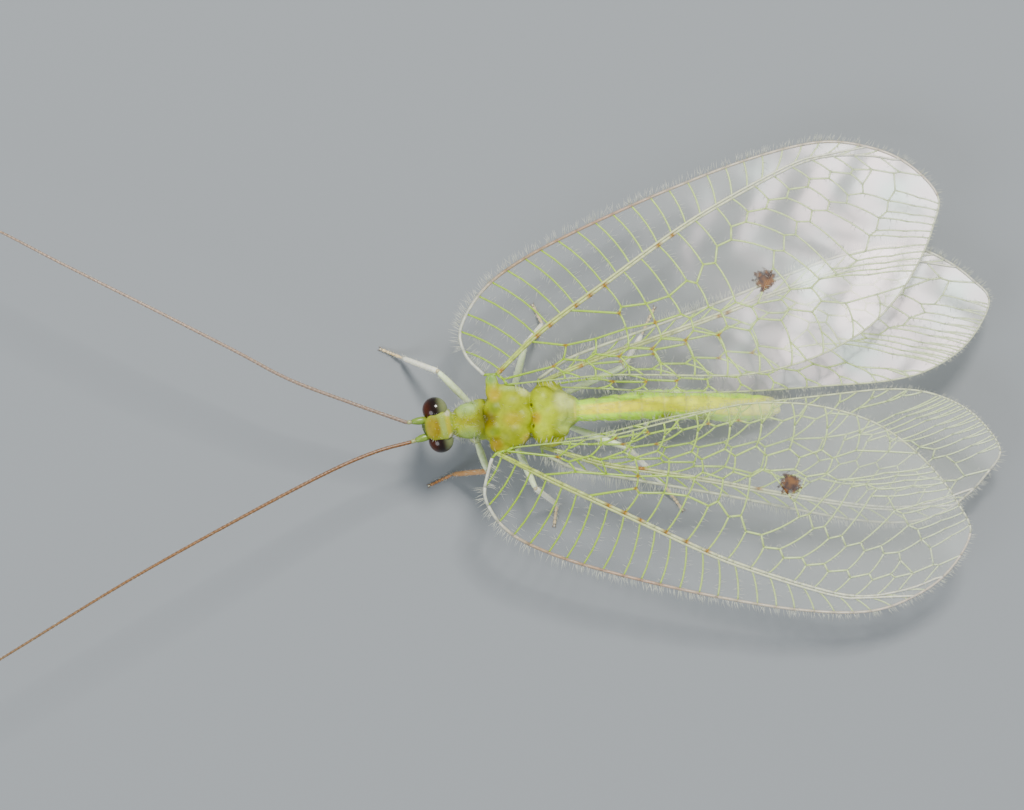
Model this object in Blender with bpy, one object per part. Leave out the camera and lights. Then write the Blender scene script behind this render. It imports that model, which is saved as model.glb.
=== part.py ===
"""Green lacewing, a still, life-size model resting on six feet and the tip of its abdomen.

+X runs from head to tail, +Y is the animal's right side and +Z is up. The origin is on the
floor, under the middle of the model's box. Sizes below are millimetres.
"""
import math

import bmesh
import bpy
from mathutils import Vector
from mathutils.geometry import tessellate_polygon

MM = 0.001

# Gap that the crowded pieces of the head keep between them
HEAD_GAP = 0.20

# Edges sharper than this stay crisp
CREASE = math.radians(40)

# Where the thorax's middle stands from the origin, in plan
THORAX_AT = Vector((1.80, 0.10))

# Body: each station is x, middle y, half width, bottom z, top z
PROTHORAX = ((-1.72, -0.16, 0.42, 2.08, 2.76), (-1.62, -0.15, 0.48, 2.02, 2.86),
             (-1.30, -0.12, 0.56, 1.98, 2.98), (-1.04, -0.10, 0.66, 1.93, 3.08),
             (-0.96, -0.10, 0.64, 1.95, 3.02))
MESOTHORAX = ((-0.66, -0.12, 0.72, 1.88, 3.24), (-0.58, -0.12, 0.88, 1.78, 3.48),
              (-0.34, -0.12, 1.03, 1.70, 3.70), (-0.02, -0.12, 1.04, 1.68, 3.76),
              (0.28, -0.12, 0.94, 1.70, 3.66), (0.50, -0.11, 0.84, 1.74, 3.54),
              (0.58, -0.11, 0.74, 1.80, 3.42))
METATHORAX = ((0.88, -0.11, 0.74, 1.80, 3.30), (0.97, -0.11, 0.84, 1.72, 3.44),
              (1.30, -0.10, 0.84, 1.68, 3.46), (1.72, -0.06, 0.66, 1.66, 3.24),
              (2.08, 0.00, 0.48, 1.72, 2.84))
# How square the trunk's rings are: 2 is an ellipse
TRUNK_ROUNDNESS = 2.7
# Depth of the groove down the back as a share of the height, and its width of the half width
TRUNK_GROOVE = 0.06
GROOVE_WIDTH = 0.3
TRUNK_RINGS = 8
TRUNK_SIDES = 20

ABDOMEN_START = 2.38
ABDOMEN_END = 9.05
ABDOMEN_SEGMENTS = 9
ABDOMEN_MIDDLE_Y = ((2.38, 0.04), (4.90, 0.10), (6.25, 0.02), (7.65, -0.16), (9.05, -0.20))
ABDOMEN_MIDDLE_Z = ((2.38, 2.16), (5.00, 1.46), (7.60, 0.66), (8.50, 0.39), (9.05, 0.33))
ABDOMEN_HALF_WIDTH = ((2.38, 0.36), (3.50, 0.43), (5.20, 0.51), (7.60, 0.50), (8.60, 0.38),
                      (9.05, 0.20))
ABDOMEN_HEIGHT_RATIO = 1.08
ABDOMEN_SIDES = 14
SEGMENT_PINCH = 0.06

# Head: a box with rounded edges between two flat eye sockets, turned a little to the left
HEAD_AT = Vector((-2.40, -0.19))
HEAD_YAW = math.radians(8.7)
HEAD_STATIONS = ((-0.44, 0.30, 2.12, 2.78), (-0.34, 0.38, 2.00, 2.90), (-0.10, 0.44, 1.93, 2.97),
                 (0.15, 0.44, 1.93, 2.97), (0.38, 0.39, 1.97, 2.86), (0.48, 0.32, 2.06, 2.72))
EYE_SOCKET = 0.36
EYE_RADIUS = 0.38
EYE_Z = 2.50
EYE_SIDES = 14
EYE_RINGS = 5
EYE_LAST_RING = math.radians(78)
# Mouth: each station is ahead of the head's middle, half width, half depth, height
MOUTH_STATIONS = ((0.24, 0.30, 0.24, 1.73), (0.30, 0.29, 0.22, 1.52), (0.36, 0.20, 0.15, 1.30),
                  (0.38, 0.12, 0.09, 1.16))
MOUTH_SIDES = 12
# Palps of the jaws: ahead, to the side, height, and thickness at each bend
PALP = ((0.30, 0.16, 1.48, 0.16), (0.48, 0.34, 1.36, 0.16), (0.66, 0.38, 1.14, 0.15),
        (0.76, 0.30, 0.90, 0.13), (0.78, 0.24, 0.74, 0.09))

# Feelers: scape, given ahead of the head's front, to the side and by height at both of its ends,
# then the long thread, which runs on in a gentle curve and has more points near its root
SCAPE = ((0.04, 0.26, 2.46), (0.20, 0.28, 2.50))
FEELER_THICK = 0.50
FEELER_TIP_THICK = 0.30
SCAPE_THICK = 0.32
FEELER_STEPS = 22
FEELER_CROWDING = 1.3
FEELER_RIGHT = ((-3.40, 0.06, 2.66), (-5.17, 0.64, 3.05), (-7.23, 1.55, 3.45), (-9.01, 2.61, 3.75),
                (-11.60, 4.11, 4.05), (-14.58, 5.80, 4.10), (-16.66, 7.01, 4.00), (-19.70, 8.62, 3.70))
FEELER_LEFT = ((-3.36, -0.66, 2.66), (-4.46, -0.97, 2.90), (-5.85, -1.46, 3.20), (-8.00, -2.42, 3.55),
               (-11.19, -3.95, 3.90), (-13.62, -5.19, 4.00), (-17.30, -7.20, 3.90), (-19.80, -8.50, 3.65))

# Legs: top of the coxa, its lower end, the knee, the ankle and the claws
COXA_THICK = 0.62
FEMUR_THICK = 0.54
TIBIA_THICK = 0.50
TARSUS_THICK = 0.50
FOOT_SINK = 0.05
TUBE_SIDES = 8
# A bend is rounded over this length, or this share of the shorter stretch beside it
BEND_REACH = 0.3
BEND_SHARE = 0.4
BEND_STOPS = (0.0, 0.35, 0.65, 1.0)
LEGS = {
    "leg_front_right": ((-1.30, 0.22, 1.60), (-1.30, 0.42, 1.22), (-2.35, 1.59, 1.72),
                        (-3.52, 2.10, 0.42), (-4.20, 2.42, 0.20)),
    "leg_front_left": ((-1.28, -0.54, 1.58), (-1.16, -0.82, 1.22), (-0.86, -1.84, 1.80),
                       (-2.03, -1.90, 0.45), (-2.80, -2.22, 0.20)),
    "leg_mid_right": ((0.05, 0.42, 1.34), (0.12, 0.72, 1.02), (0.62, 2.30, 1.85),
                      (1.24, 3.00, 0.48), (0.98, 3.60, 0.20)),
    "leg_mid_left": ((0.05, -0.66, 1.34), (0.12, -0.96, 1.02), (0.72, -2.50, 1.85),
                     (1.42, -3.10, 0.48), (1.30, -3.75, 0.20)),
    "leg_hind_right": ((1.62, 0.34, 1.28), (1.80, 0.60, 1.02), (3.88, 1.43, 1.40),
                       (4.56, 2.45, 0.50), (5.02, 3.30, 0.20)),
    "leg_hind_left": ((1.62, -0.52, 1.30), (1.80, -0.76, 1.02), (3.94, -1.40, 1.40),
                      (5.05, -2.62, 0.50), (5.58, -3.42, 0.20)),
}

# Wings: plan, side, root, spread from the body axis, height of the root, and how full the
# field in front of the wing's own axis is at its root, as the two forewings tilt differently
FOREWING_LENGTH = 16.0
HINDWING_LENGTH = 15.1
WINGS = {
    "forewing_right": ("fore", 1, (-0.42, 1.15), math.radians(19.8), 3.28, 1.10),
    "forewing_left": ("fore", -1, (-0.50, -1.36), math.radians(12.2), 3.28, 0.885),
    "hindwing_right": ("hind", 1, (1.28, 1.08), math.radians(7.5), 2.38, 1.0),
    "hindwing_left": ("hind", -1, (1.28, -1.28), math.radians(3.0), 2.38, 1.0),
}
FULLNESS_FADE = 1.5
# The hinge runs back along the side of the thorax and a little inwards, and some veins
# start a share of the way along it
HINGES = {"fore": (1.00, 0.12), "hind": (0.46, 0.20)}
HINGE_STARTS = {"fore": {"radius": 0.35, "cubitus": 0.80}, "hind": {"radius": 0.30, "media": 0.75}}
ROOF_SLOPE = 0.27
TIP_DROOP = 1.0
MEMBRANE_THICK = 0.50
VEIN_RAISE = 0.12
VEIN_HALF_WIDTH = 0.11
MARGIN_THICK = 0.40
# How far a tie pulls its veins towards each other, as a share of its length
ZIGZAG = 0.13
# Where a cell is too narrow for the ridges' full width, they narrow by steps, and at last the
# cell's floor shrinks towards its middle
RIDGE_TRIES = 6
RIDGE_NARROWING = 0.7
SHARPEST_MITRE = 0.35
NARROW_FLOOR = 0.3

# Long veins and margins as fractions of the wing's length: along the wing, towards the front edge
FORE_CURVES = {
    "costa": ((-0.006, 0.012), (-0.026, 0.056), (-0.018, 0.112), (0.048, 0.169), (0.150, 0.199),
              (0.300, 0.215), (0.500, 0.223), (0.680, 0.219), (0.820, 0.197), (0.910, 0.148),
              (0.970, 0.085), (1.000, 0.000)),
    "hind_margin": ((0.200, -0.072), (0.300, -0.112), (0.410, -0.160),
                    (0.500, -0.193), (0.620, -0.210), (0.740, -0.200), (0.830, -0.165),
                    (0.910, -0.110), (0.965, -0.055), (1.000, 0.000)),
    "radius": ((0.130, 0.045), (0.300, 0.090), (0.500, 0.140), (0.700, 0.168),
               (0.800, 0.168), (0.890, 0.138), (0.958, 0.098)),
    "sector": ((0.200, 0.064), (0.290, 0.030), (0.410, 0.020), (0.500, 0.045), (0.600, 0.105),
               (0.705, 0.122), (0.800, 0.128), (0.880, 0.105), (0.985, 0.052)),
    "media": ((0.100, 0.034), (0.180, 0.010), (0.280, 0.000), (0.400, -0.027), (0.490, -0.042),
              (0.570, -0.063), (0.660, -0.070), (0.775, -0.055), (0.845, -0.005), (0.885, 0.025),
              (0.935, 0.076)),
    "gradates": ((0.565, -0.060), (0.600, -0.015), (0.645, 0.018), (0.697, 0.048), (0.767, 0.066),
                 (0.845, 0.066), (0.900, 0.096)),
    "cubitus": ((0.140, -0.016), (0.270, -0.048), (0.420, -0.067), (0.510, -0.092),
                (0.600, -0.100), (0.720, -0.120), (0.860, -0.146)),
}
HIND_CURVES = {
    "costa": ((-0.010, 0.012), (0.060, 0.040), (0.180, 0.062), (0.388, 0.098), (0.560, 0.132),
              (0.680, 0.153), (0.790, 0.158), (0.870, 0.137), (0.930, 0.095), (0.972, 0.048),
              (1.000, 0.000)),
    "hind_margin": ((0.120, -0.040), (0.260, -0.074), (0.420, -0.102),
                    (0.600, -0.123), (0.740, -0.137), (0.830, -0.131), (0.910, -0.101),
                    (0.965, -0.056), (1.000, 0.000)),
    "radius": ((0.120, 0.026), (0.230, 0.042), (0.374, 0.066), (0.512, 0.092),
               (0.717, 0.122), (0.830, 0.118), (0.944, 0.082)),
    "sector": ((0.090, 0.021), (0.200, 0.016), (0.350, 0.034), (0.500, 0.052), (0.650, 0.074),
               (0.800, 0.082), (0.978, 0.040)),
    "media": ((0.160, -0.012), (0.320, -0.014), (0.480, -0.018), (0.620, -0.030),
              (0.740, -0.026), (0.840, 0.004), (0.920, 0.058)),
    "gradates": ((0.520, -0.020), (0.580, 0.010), (0.660, 0.026), (0.760, 0.038), (0.880, 0.068)),
    "cubitus": ((0.080, -0.010), (0.180, -0.034), (0.320, -0.054), (0.480, -0.070), (0.640, -0.082),
                (0.790, -0.124)),
}

# Ties between two long veins: how many, and where they start and end along each
FORE_TIES = (
    ("radius", "costa", 15, (0.035, 0.86), (0.085, 0.84)),
    ("radius", "sector", 9, (0.300, 0.84), (0.135, 0.82)),
    ("radius", "sector", 2, (0.905, 0.955), (0.890, 0.955)),
    ("sector", "media", 4, (0.120, 0.39), (0.225, 0.48)),
    ("sector", "gradates", 5, (0.460, 0.78), (0.300, 0.86)),
    ("gradates", "media", 5, (0.220, 0.80), (0.620, 0.91)),
    ("media", "cubitus", 7, (0.090, 0.65), (0.170, 0.79)),
    ("cubitus", "hind_margin", 9, (0.130, 0.92), (0.130, 0.73)),
    ("media", "hind_margin", 8, (0.690, 0.96), (0.850, 0.985)),
)
HIND_TIES = (
    ("radius", "costa", 11, (0.080, 0.88), (0.120, 0.85)),
    ("radius", "sector", 8, (0.160, 0.84), (0.120, 0.82)),
    ("radius", "sector", 1, (0.930, 0.930), (0.920, 0.92)),
    ("sector", "media", 4, (0.090, 0.40), (0.200, 0.50)),
    ("sector", "gradates", 4, (0.500, 0.78), (0.250, 0.80)),
    ("gradates", "media", 4, (0.200, 0.76), (0.640, 0.90)),
    ("media", "cubitus", 6, (0.090, 0.62), (0.110, 0.80)),
    ("cubitus", "hind_margin", 7, (0.120, 0.90), (0.120, 0.74)),
    ("media", "hind_margin", 7, (0.680, 0.95), (0.820, 0.980)),
)
# What each long vein starts from and ends on
FORE_ENDS = {"radius": ("hinge", "costa"), "sector": ("radius", "costa"),
             "media": ("radius", "sector"), "gradates": ("media", "sector"),
             "cubitus": ("hinge", "hind_margin")}
HIND_ENDS = {"radius": ("hinge", "costa"), "sector": ("radius", "costa"),
             "media": ("hinge", "sector"), "gradates": ("media", "sector"),
             "cubitus": ("media", "hind_margin")}
WING_PLANS = {
    "fore": (FOREWING_LENGTH, FORE_CURVES, FORE_TIES, FORE_ENDS),
    "hind": (HINDWING_LENGTH, HIND_CURVES, HIND_TIES, HIND_ENDS),
}
# Points along a margin lie no further apart than this share of it, and ties no closer
CURVE_STEP = 0.032
CLOSEST_TIES = 0.014
STRAIGHT = ("costa", "hind_margin", "radius")

# Colours seen on the animal, as sRGB hex
COLOURS = {
    "head": ("B9A62A", 0.45),
    "mouth": ("C9B870", 0.45),
    "eye": ("4A1208", 0.12),
    "feeler": ("C09A72", 0.55),
    "pronotum": ("A9B85A", 0.50),
    "thorax": ("AEB41E", 0.50),
    "abdomen": ("B4C23A", 0.50),
    "leg": ("C6D2A0", 0.50),
    "wing": ("D6DEC4", 0.25),
}


def linear(hex_colour):
    """An sRGB hex colour as linear red, green, blue and alpha."""
    channels = [int(hex_colour[i:i + 2], 16) / 255 for i in (0, 2, 4)]
    toned = [c / 12.92 if c <= 0.04045 else ((c + 0.055) / 1.055) ** 2.4 for c in channels]
    return (*toned, 1.0)


def material(name):
    """One plain Principled material for a kind of body part."""
    colour, roughness = COLOURS[name]
    made = bpy.data.materials.get(name) or bpy.data.materials.new(name)
    made.use_nodes = True
    shader = made.node_tree.nodes["Principled BSDF"]
    shader.inputs["Base Color"].default_value = linear(colour)
    shader.inputs["Roughness"].default_value = roughness
    return made


def smooth(points, share, beyond=None):
    """The point at a share of the way along a smooth curve through the given points.

    The curve may head for one more point beyond its end.
    """
    points = [Vector(p) for p in points]
    lengths = [(b - a).length for a, b in zip(points, points[1:])]
    left = min(max(share, 0.0), 1.0) * sum(lengths)
    i = 0
    while i < len(lengths) - 1 and left > lengths[i]:
        left -= lengths[i]
        i += 1
    t = left / lengths[i]
    a, b = points[i], points[i + 1]
    before = points[i - 1] if i > 0 else a + (a - b)
    ending = Vector(beyond) if beyond else b + (b - a)
    after = points[i + 2] if i + 2 < len(points) else ending
    return 0.5 * (2 * a + (b - before) * t + (2 * before - 5 * a + 4 * b - after) * t * t
                  + (3 * a - before - 3 * b + after) * t ** 3)


def along(table, x):
    """The value at x of a table of x and value pairs, with straight stretches between them."""
    for (x0, v0), (x1, v1) in zip(table, table[1:]):
        if x <= x1:
            return v0 + (v1 - v0) * (x - x0) / (x1 - x0)
    return table[-1][1]


def finish(name, bm, kind):
    """Turn a mesh in millimetres into a named object in its place, in metres."""
    bmesh.ops.triangulate(bm, faces=bm.faces)
    bmesh.ops.translate(bm, verts=bm.verts, vec=(THORAX_AT.x, THORAX_AT.y, 0))
    bmesh.ops.scale(bm, verts=bm.verts, vec=(MM, MM, MM))
    mesh = bpy.data.meshes.new(name)
    bm.to_mesh(mesh)
    bm.free()
    mesh.shade_smooth()
    mesh.set_sharp_from_angle(angle=CREASE)
    mesh.materials.append(material(kind))
    made = bpy.data.objects.new(name, mesh)
    bpy.context.scene.collection.objects.link(made)


def skin_rings(rings):
    """A closed mesh over a row of rings, with a flat cap at each end."""
    bm = bmesh.new()
    rows = [[bm.verts.new(p) for p in ring] for ring in rings]
    for row, following in zip(rows, rows[1:]):
        for i in range(len(row)):
            j = (i + 1) % len(row)
            bm.faces.new((row[i], row[j], following[j], following[i]))
    bm.faces.new(rows[0][::-1])
    bm.faces.new(rows[-1])
    bmesh.ops.recalc_face_normals(bm, faces=bm.faces)
    return bm


def trim(bm, at, facing):
    """Cut away what lies beyond a plane and close the cut with a flat face."""
    geometry = bm.verts[:] + bm.edges[:] + bm.faces[:]
    cut = bmesh.ops.bisect_plane(bm, geom=geometry, dist=1e-6, plane_co=at, plane_no=facing,
                                 clear_outer=True)
    edges = [e for e in cut["geom_cut"] if isinstance(e, bmesh.types.BMEdge)]
    bmesh.ops.contextual_create(bm, geom=edges)
    bmesh.ops.recalc_face_normals(bm, faces=bm.faces)


def trunk_ring(x, middle_y, half_width, bottom, top, groove=0.0):
    """A rounded ring across the body, with a shallow groove along its back."""
    ring = []
    for i in range(TRUNK_SIDES):
        turn = 2 * math.pi * i / TRUNK_SIDES
        across, up = math.cos(turn), math.sin(turn)
        power = 2 / TRUNK_ROUNDNESS
        y = half_width * math.copysign(abs(across) ** power, across)
        z = (top - bottom) / 2 * math.copysign(abs(up) ** power, up)
        dent = groove * (top - bottom) * max(up, 0) * math.exp(-(y / (GROOVE_WIDTH * half_width)) ** 2)
        ring.append((x, middle_y + y, (top + bottom) / 2 + z - dent))
    return ring


def make_trunk():
    """The three rings of the thorax, each a node of its own."""
    for name, stations, kind, groove in (
            ("prothorax", PROTHORAX, "pronotum", 0.0),
            ("mesothorax", MESOTHORAX, "thorax", TRUNK_GROOVE),
            ("metathorax", METATHORAX, "thorax", TRUNK_GROOVE)):
        rings = [trunk_ring(*smooth(stations, step / TRUNK_RINGS), groove=groove)
                 for step in range(TRUNK_RINGS + 1)]
        finish(name, skin_rings(rings), kind)


def make_abdomen():
    """Nine plump segments, pinched at their joints, sinking to the floor at the tip."""
    rings = []
    steps = ABDOMEN_SEGMENTS * 2
    for step in range(steps + 1):
        x = ABDOMEN_START + (ABDOMEN_END - ABDOMEN_START) * step / steps
        pinch = 1 - SEGMENT_PINCH * (step % 2 == 0)
        half = along(ABDOMEN_HALF_WIDTH, x) * pinch
        middle_y, middle_z = along(ABDOMEN_MIDDLE_Y, x), along(ABDOMEN_MIDDLE_Z, x)
        turns = [2 * math.pi * i / ABDOMEN_SIDES for i in range(ABDOMEN_SIDES)]
        rings.append([(x, middle_y + half * math.cos(turn),
                       middle_z + half * ABDOMEN_HEIGHT_RATIO * math.sin(turn)) for turn in turns])
    bm = skin_rings(rings)
    trim(bm, (0, 0, 0), (0, 0, -1))
    finish("abdomen", bm, "abdomen")


def head_point(ahead, right, z):
    """A place on the turned head: ahead of its middle, to the animal's right, and its height."""
    forward = Vector((-math.cos(HEAD_YAW), -math.sin(HEAD_YAW)))
    side = Vector((-math.sin(HEAD_YAW), math.cos(HEAD_YAW)))
    return Vector((*(HEAD_AT + forward * ahead + side * right), z))


def tube(path, radii):
    """A round bar along a path, with a radius for each of its points."""
    path = [Vector(p) for p in path]
    rings = []
    side = Vector((0, 0, 1)).cross(path[1] - path[0])
    if side.length < 1e-3:
        side = Vector((0, 1, 0))
    for i, point in enumerate(path):
        ahead = (path[min(i + 1, len(path) - 1)] - path[max(i - 1, 0)]).normalized()
        side = (side - ahead * side.dot(ahead)).normalized()
        up = ahead.cross(side)
        turns = [2 * math.pi * (k + 0.5) / TUBE_SIDES for k in range(TUBE_SIDES)]
        rings.append([point + radii[i] * (side * math.cos(turn) + up * math.sin(turn))
                      for turn in turns])
    return skin_rings(rings)


def make_head():
    """The head with its two flat eye sockets, and the eyes on them."""
    rings = []
    for ahead, half, bottom, top in HEAD_STATIONS:
        ring = trunk_ring(ahead, 0, half, bottom, top)
        rings.append([head_point(a, right, z) for a, right, z in ring])
    bm = skin_rings(rings)
    for side in (1, -1):
        facing = head_point(0, side, 0) - head_point(0, 0, 0)
        trim(bm, head_point(0, side * EYE_SOCKET, 0), facing)
    finish("head", bm, "head")

    for name, side in (("eye_right", 1), ("eye_left", -1)):
        rings = []
        for ring in range(EYE_RINGS):
            rise = EYE_LAST_RING * ring / (EYE_RINGS - 1)
            reach = EYE_SOCKET + HEAD_GAP + EYE_RADIUS * math.sin(rise)
            wide = EYE_RADIUS * math.cos(rise)
            turns = [2 * math.pi * i / EYE_SIDES for i in range(EYE_SIDES)]
            rings.append([head_point(wide * math.cos(turn), side * reach,
                                     EYE_Z + wide * math.sin(turn)) for turn in turns])
        finish(name, skin_rings(rings), "eye")


def fused(pieces):
    """The closed meshes joined into one body."""
    parts = bpy.data.collections.new("parts")
    for i, bm in enumerate(pieces):
        bmesh.ops.triangulate(bm, faces=bm.faces)
        mesh = bpy.data.meshes.new("piece")
        bm.to_mesh(mesh)
        bm.free()
        body = bpy.data.objects.new("piece", mesh)
        if i == 0:
            whole = body
            bpy.context.scene.collection.objects.link(body)
        else:
            parts.objects.link(body)
    union = whole.modifiers.new("union", "BOOLEAN")
    union.operation = "UNION"
    union.operand_type = "COLLECTION"
    union.collection = parts
    seen = whole.evaluated_get(bpy.context.evaluated_depsgraph_get())
    joined = bmesh.new()
    joined.from_mesh(seen.to_mesh())
    seen.to_mesh_clear()
    for body in [whole, *parts.objects]:
        bpy.data.objects.remove(body, do_unlink=True)
    bpy.data.collections.remove(parts)
    return joined


def make_mouth():
    """The tapered mouth below the head, with the two bent palps of its jaws."""
    rings = []
    for ahead, half_width, half_depth, z in MOUTH_STATIONS:
        turns = [2 * math.pi * i / MOUTH_SIDES for i in range(MOUTH_SIDES)]
        rings.append([head_point(ahead + half_depth * math.cos(turn),
                                 half_width * math.sin(turn), z) for turn in turns])
    pieces = [skin_rings(rings)]
    for side in (1, -1):
        path = [head_point(ahead, side * out, z) for ahead, out, z, _ in PALP]
        pieces.append(tube(path, [thick / 2 for *_, thick in PALP]))
    finish("mouthparts", fused(pieces), "mouth")


def make_feelers():
    """Each feeler is one bar from its socket in the brow out to its tip."""
    front = HEAD_STATIONS[-1][0] + HEAD_GAP
    for name, side, route in (("antenna_right", 1, FEELER_RIGHT), ("antenna_left", -1, FEELER_LEFT)):
        path = [head_point(front + ahead, side * out, z) for ahead, out, z in SCAPE]
        radii = [SCAPE_THICK / 2 for _ in path]
        for step in range(FEELER_STEPS + 1):
            share = (step / FEELER_STEPS) ** FEELER_CROWDING
            path.append(smooth(route, share))
            thick = FEELER_THICK + (FEELER_TIP_THICK - FEELER_THICK) * share
            radii.append((SCAPE_THICK if step == 0 else thick) / 2)
        finish(name, tube(path, radii), "feeler")


def rounded_route(corners, thick):
    """A leg's route with its bends rounded, and the radius at each of its points."""
    corners = [Vector(c) for c in corners]
    path, radii = [corners[0]], [thick[0] / 2]
    for i in range(1, len(corners) - 1):
        before, corner, after = corners[i - 1:i + 2]
        shorter = min((corner - before).length, (after - corner).length)
        reach = min(BEND_REACH, BEND_SHARE * shorter)
        start = corner + (before - corner).normalized() * reach
        end = corner + (after - corner).normalized() * reach
        for t in BEND_STOPS:
            path.append(start * (1 - t) ** 2 + corner * 2 * t * (1 - t) + end * t * t)
            radii.append(thick[i] / 2)
    path.append(corners[-1])
    radii.append(thick[-1] / 2)
    return path, radii


def make_legs():
    """Six legs from coxa to claws, each foot worn to a small flat at floor level."""
    thick = (COXA_THICK, COXA_THICK, FEMUR_THICK, TIBIA_THICK, TARSUS_THICK)
    for name, corners in LEGS.items():
        corners = list(corners)
        claw = Vector(corners[-1])
        claw.z = TARSUS_THICK / 2 - FOOT_SINK
        corners[-1] = claw
        path, radii = rounded_route(corners, thick)
        bm = tube(path, radii)
        trim(bm, (0, 0, 0), (0, 0, -1))
        finish(name, bm, "leg")


def fuller(point, fullness):
    """A place on the wing, moved outwards from its axis in the field in front of it."""
    x, y = point
    if y > 0:
        y *= 1 + (fullness - 1) * (1 - min(max(x, 0), 1)) ** FULLNESS_FADE
    return (x, y)


def hinged(plan, spread, fullness):
    """The wing's curves, with the hind margin and some veins brought in to the hinge."""
    length, curves = WING_PLANS[plan][:2]
    curves = {name: tuple(fuller(p, fullness) for p in curve) for name, curve in curves.items()}
    back, inward = HINGES[plan]
    front_end = Vector(curves["costa"][0])
    back_end = front_end + Vector((back * math.cos(spread) - inward * math.sin(spread),
                                   -back * math.sin(spread) - inward * math.cos(spread))) / length
    shares = {"hind_margin": 1.0, **HINGE_STARTS[plan]}
    return {**curves, **{name: (front_end.lerp(back_end, share), *curves[name])
                         for name, share in shares.items()}}


def wing_network(curves, ties):
    """The veins as a net: places of its knots, and pairs of knots that a vein joins.

    Each tie pulls the long veins a little towards itself, so they run in a zigzag.
    """
    stops = {name: {0.0: None, 1.0: None} for name in curves}
    pulls = []

    def stop(name, share):
        near = [s for s in stops[name] if abs(s - share) < CLOSEST_TIES]
        stops[name].setdefault(near[0] if near else share, None)
        return near[0] if near else share

    for first, second, count, span_a, span_b in ties:
        for i in range(count):
            t = i / (count - 1) if count > 1 else 0
            a = stop(first, span_a[0] + (span_a[1] - span_a[0]) * t)
            b = stop(second, span_b[0] + (span_b[1] - span_b[0]) * t)
            pulls.append(((first, a), (second, b)))
    knots, pairs, rows = [], [], {}
    round_tip = {"costa": curves["hind_margin"][-2], "hind_margin": curves["costa"][-2]}
    for name, points in curves.items():
        shares = sorted(stops[name])
        if name in ("costa", "hind_margin"):
            filled = []
            for s0, s1 in zip(shares, shares[1:]):
                extra = int((s1 - s0) / CURVE_STEP)
                filled += [s0 + (s1 - s0) * k / (extra + 1) for k in range(extra + 1)]
            shares = filled + [1.0]
        rows[name] = shares
        for share in shares:
            stops[name][share] = len(knots)
            knots.append(smooth(points, share, round_tip.get(name)))
    for (first, a), (second, b) in pulls:
        ia, ib = stops[first][a], stops[second][b]
        shift = (knots[ib] - knots[ia]) * ZIGZAG
        if first not in STRAIGHT:
            knots[ia] = knots[ia] + shift
        if second not in STRAIGHT:
            knots[ib] = knots[ib] - shift
        pairs.append((ia, ib))
    return knots, pairs, rows, stops


def join_ends(ends, knots, pairs, rows, stops):
    """Tie each long vein's ends to the vein, margin or hinge that they reach."""
    same = {stops["hind_margin"][1.0]: stops["costa"][1.0]}
    hinge = [stops["costa"][0.0], stops["hind_margin"][0.0]]
    for name, (start, end) in ends.items():
        for share, other in ((0.0, start), (1.0, end)):
            knot = stops[name][share]
            if other == "hinge":
                hinge.append(knot)
            else:
                same[knot] = min(stops[other].values(), key=lambda i: (knots[i] - knots[knot]).length)
    hinge.sort(key=lambda i: (knots[i] - knots[stops["costa"][0.0]]).length)
    pairs += list(zip(hinge, hinge[1:]))
    for name, shares in rows.items():
        row = [stops[name][s] for s in shares]
        pairs += list(zip(row, row[1:]))

    def settled(i):
        while i in same:
            i = same[i]
        return i

    return {tuple(sorted((settled(a), settled(b)))) for a, b in pairs if settled(a) != settled(b)}


def cells_of(knots, edges):
    """The cells that the net encloses, each a loop of knots turning left."""
    around = {}
    for a, b in edges:
        around.setdefault(a, []).append(b)
        around.setdefault(b, []).append(a)
    for a, others in around.items():
        others.sort(key=lambda b: math.atan2(*(knots[b] - knots[a]).yx))
    cells, used = [], set()
    for a, b in [(a, b) for a, b in edges] + [(b, a) for a, b in edges]:
        if (a, b) in used:
            continue
        cell = []
        while (a, b) not in used:
            used.add((a, b))
            cell.append(a)
            others = around[b]
            a, b = b, others[others.index(a) - 1]
        cells.append(cell)
    return cells


def area(points):
    """The signed area of a flat loop."""
    return sum(p.x * q.y - q.x * p.y for p, q in zip(points, points[1:] + points[:1])) / 2


def inset(points, width):
    """The loop moved inwards by a width, or by less where the cell is too narrow for it."""
    count = len(points)
    for _ in range(RIDGE_TRIES):
        moved = []
        for i, point in enumerate(points):
            d0 = (point - points[i - 1]).normalized()
            d1 = (points[(i + 1) % count] - point).normalized()
            n0, n1 = Vector((-d0.y, d0.x)), Vector((-d1.y, d1.x))
            moved.append(point + (n0 + n1) * (width / max(1 + n0.dot(n1), SHARPEST_MITRE)))
        whole = all((moved[(i + 1) % count] - moved[i]).dot(points[(i + 1) % count] - points[i]) > 0
                    for i in range(count))
        if whole and area(moved) > 0:
            return moved
        width *= RIDGE_NARROWING
    middle = sum(points, Vector((0, 0))) / count
    return [p.lerp(middle, NARROW_FLOOR) for p in points]


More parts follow.
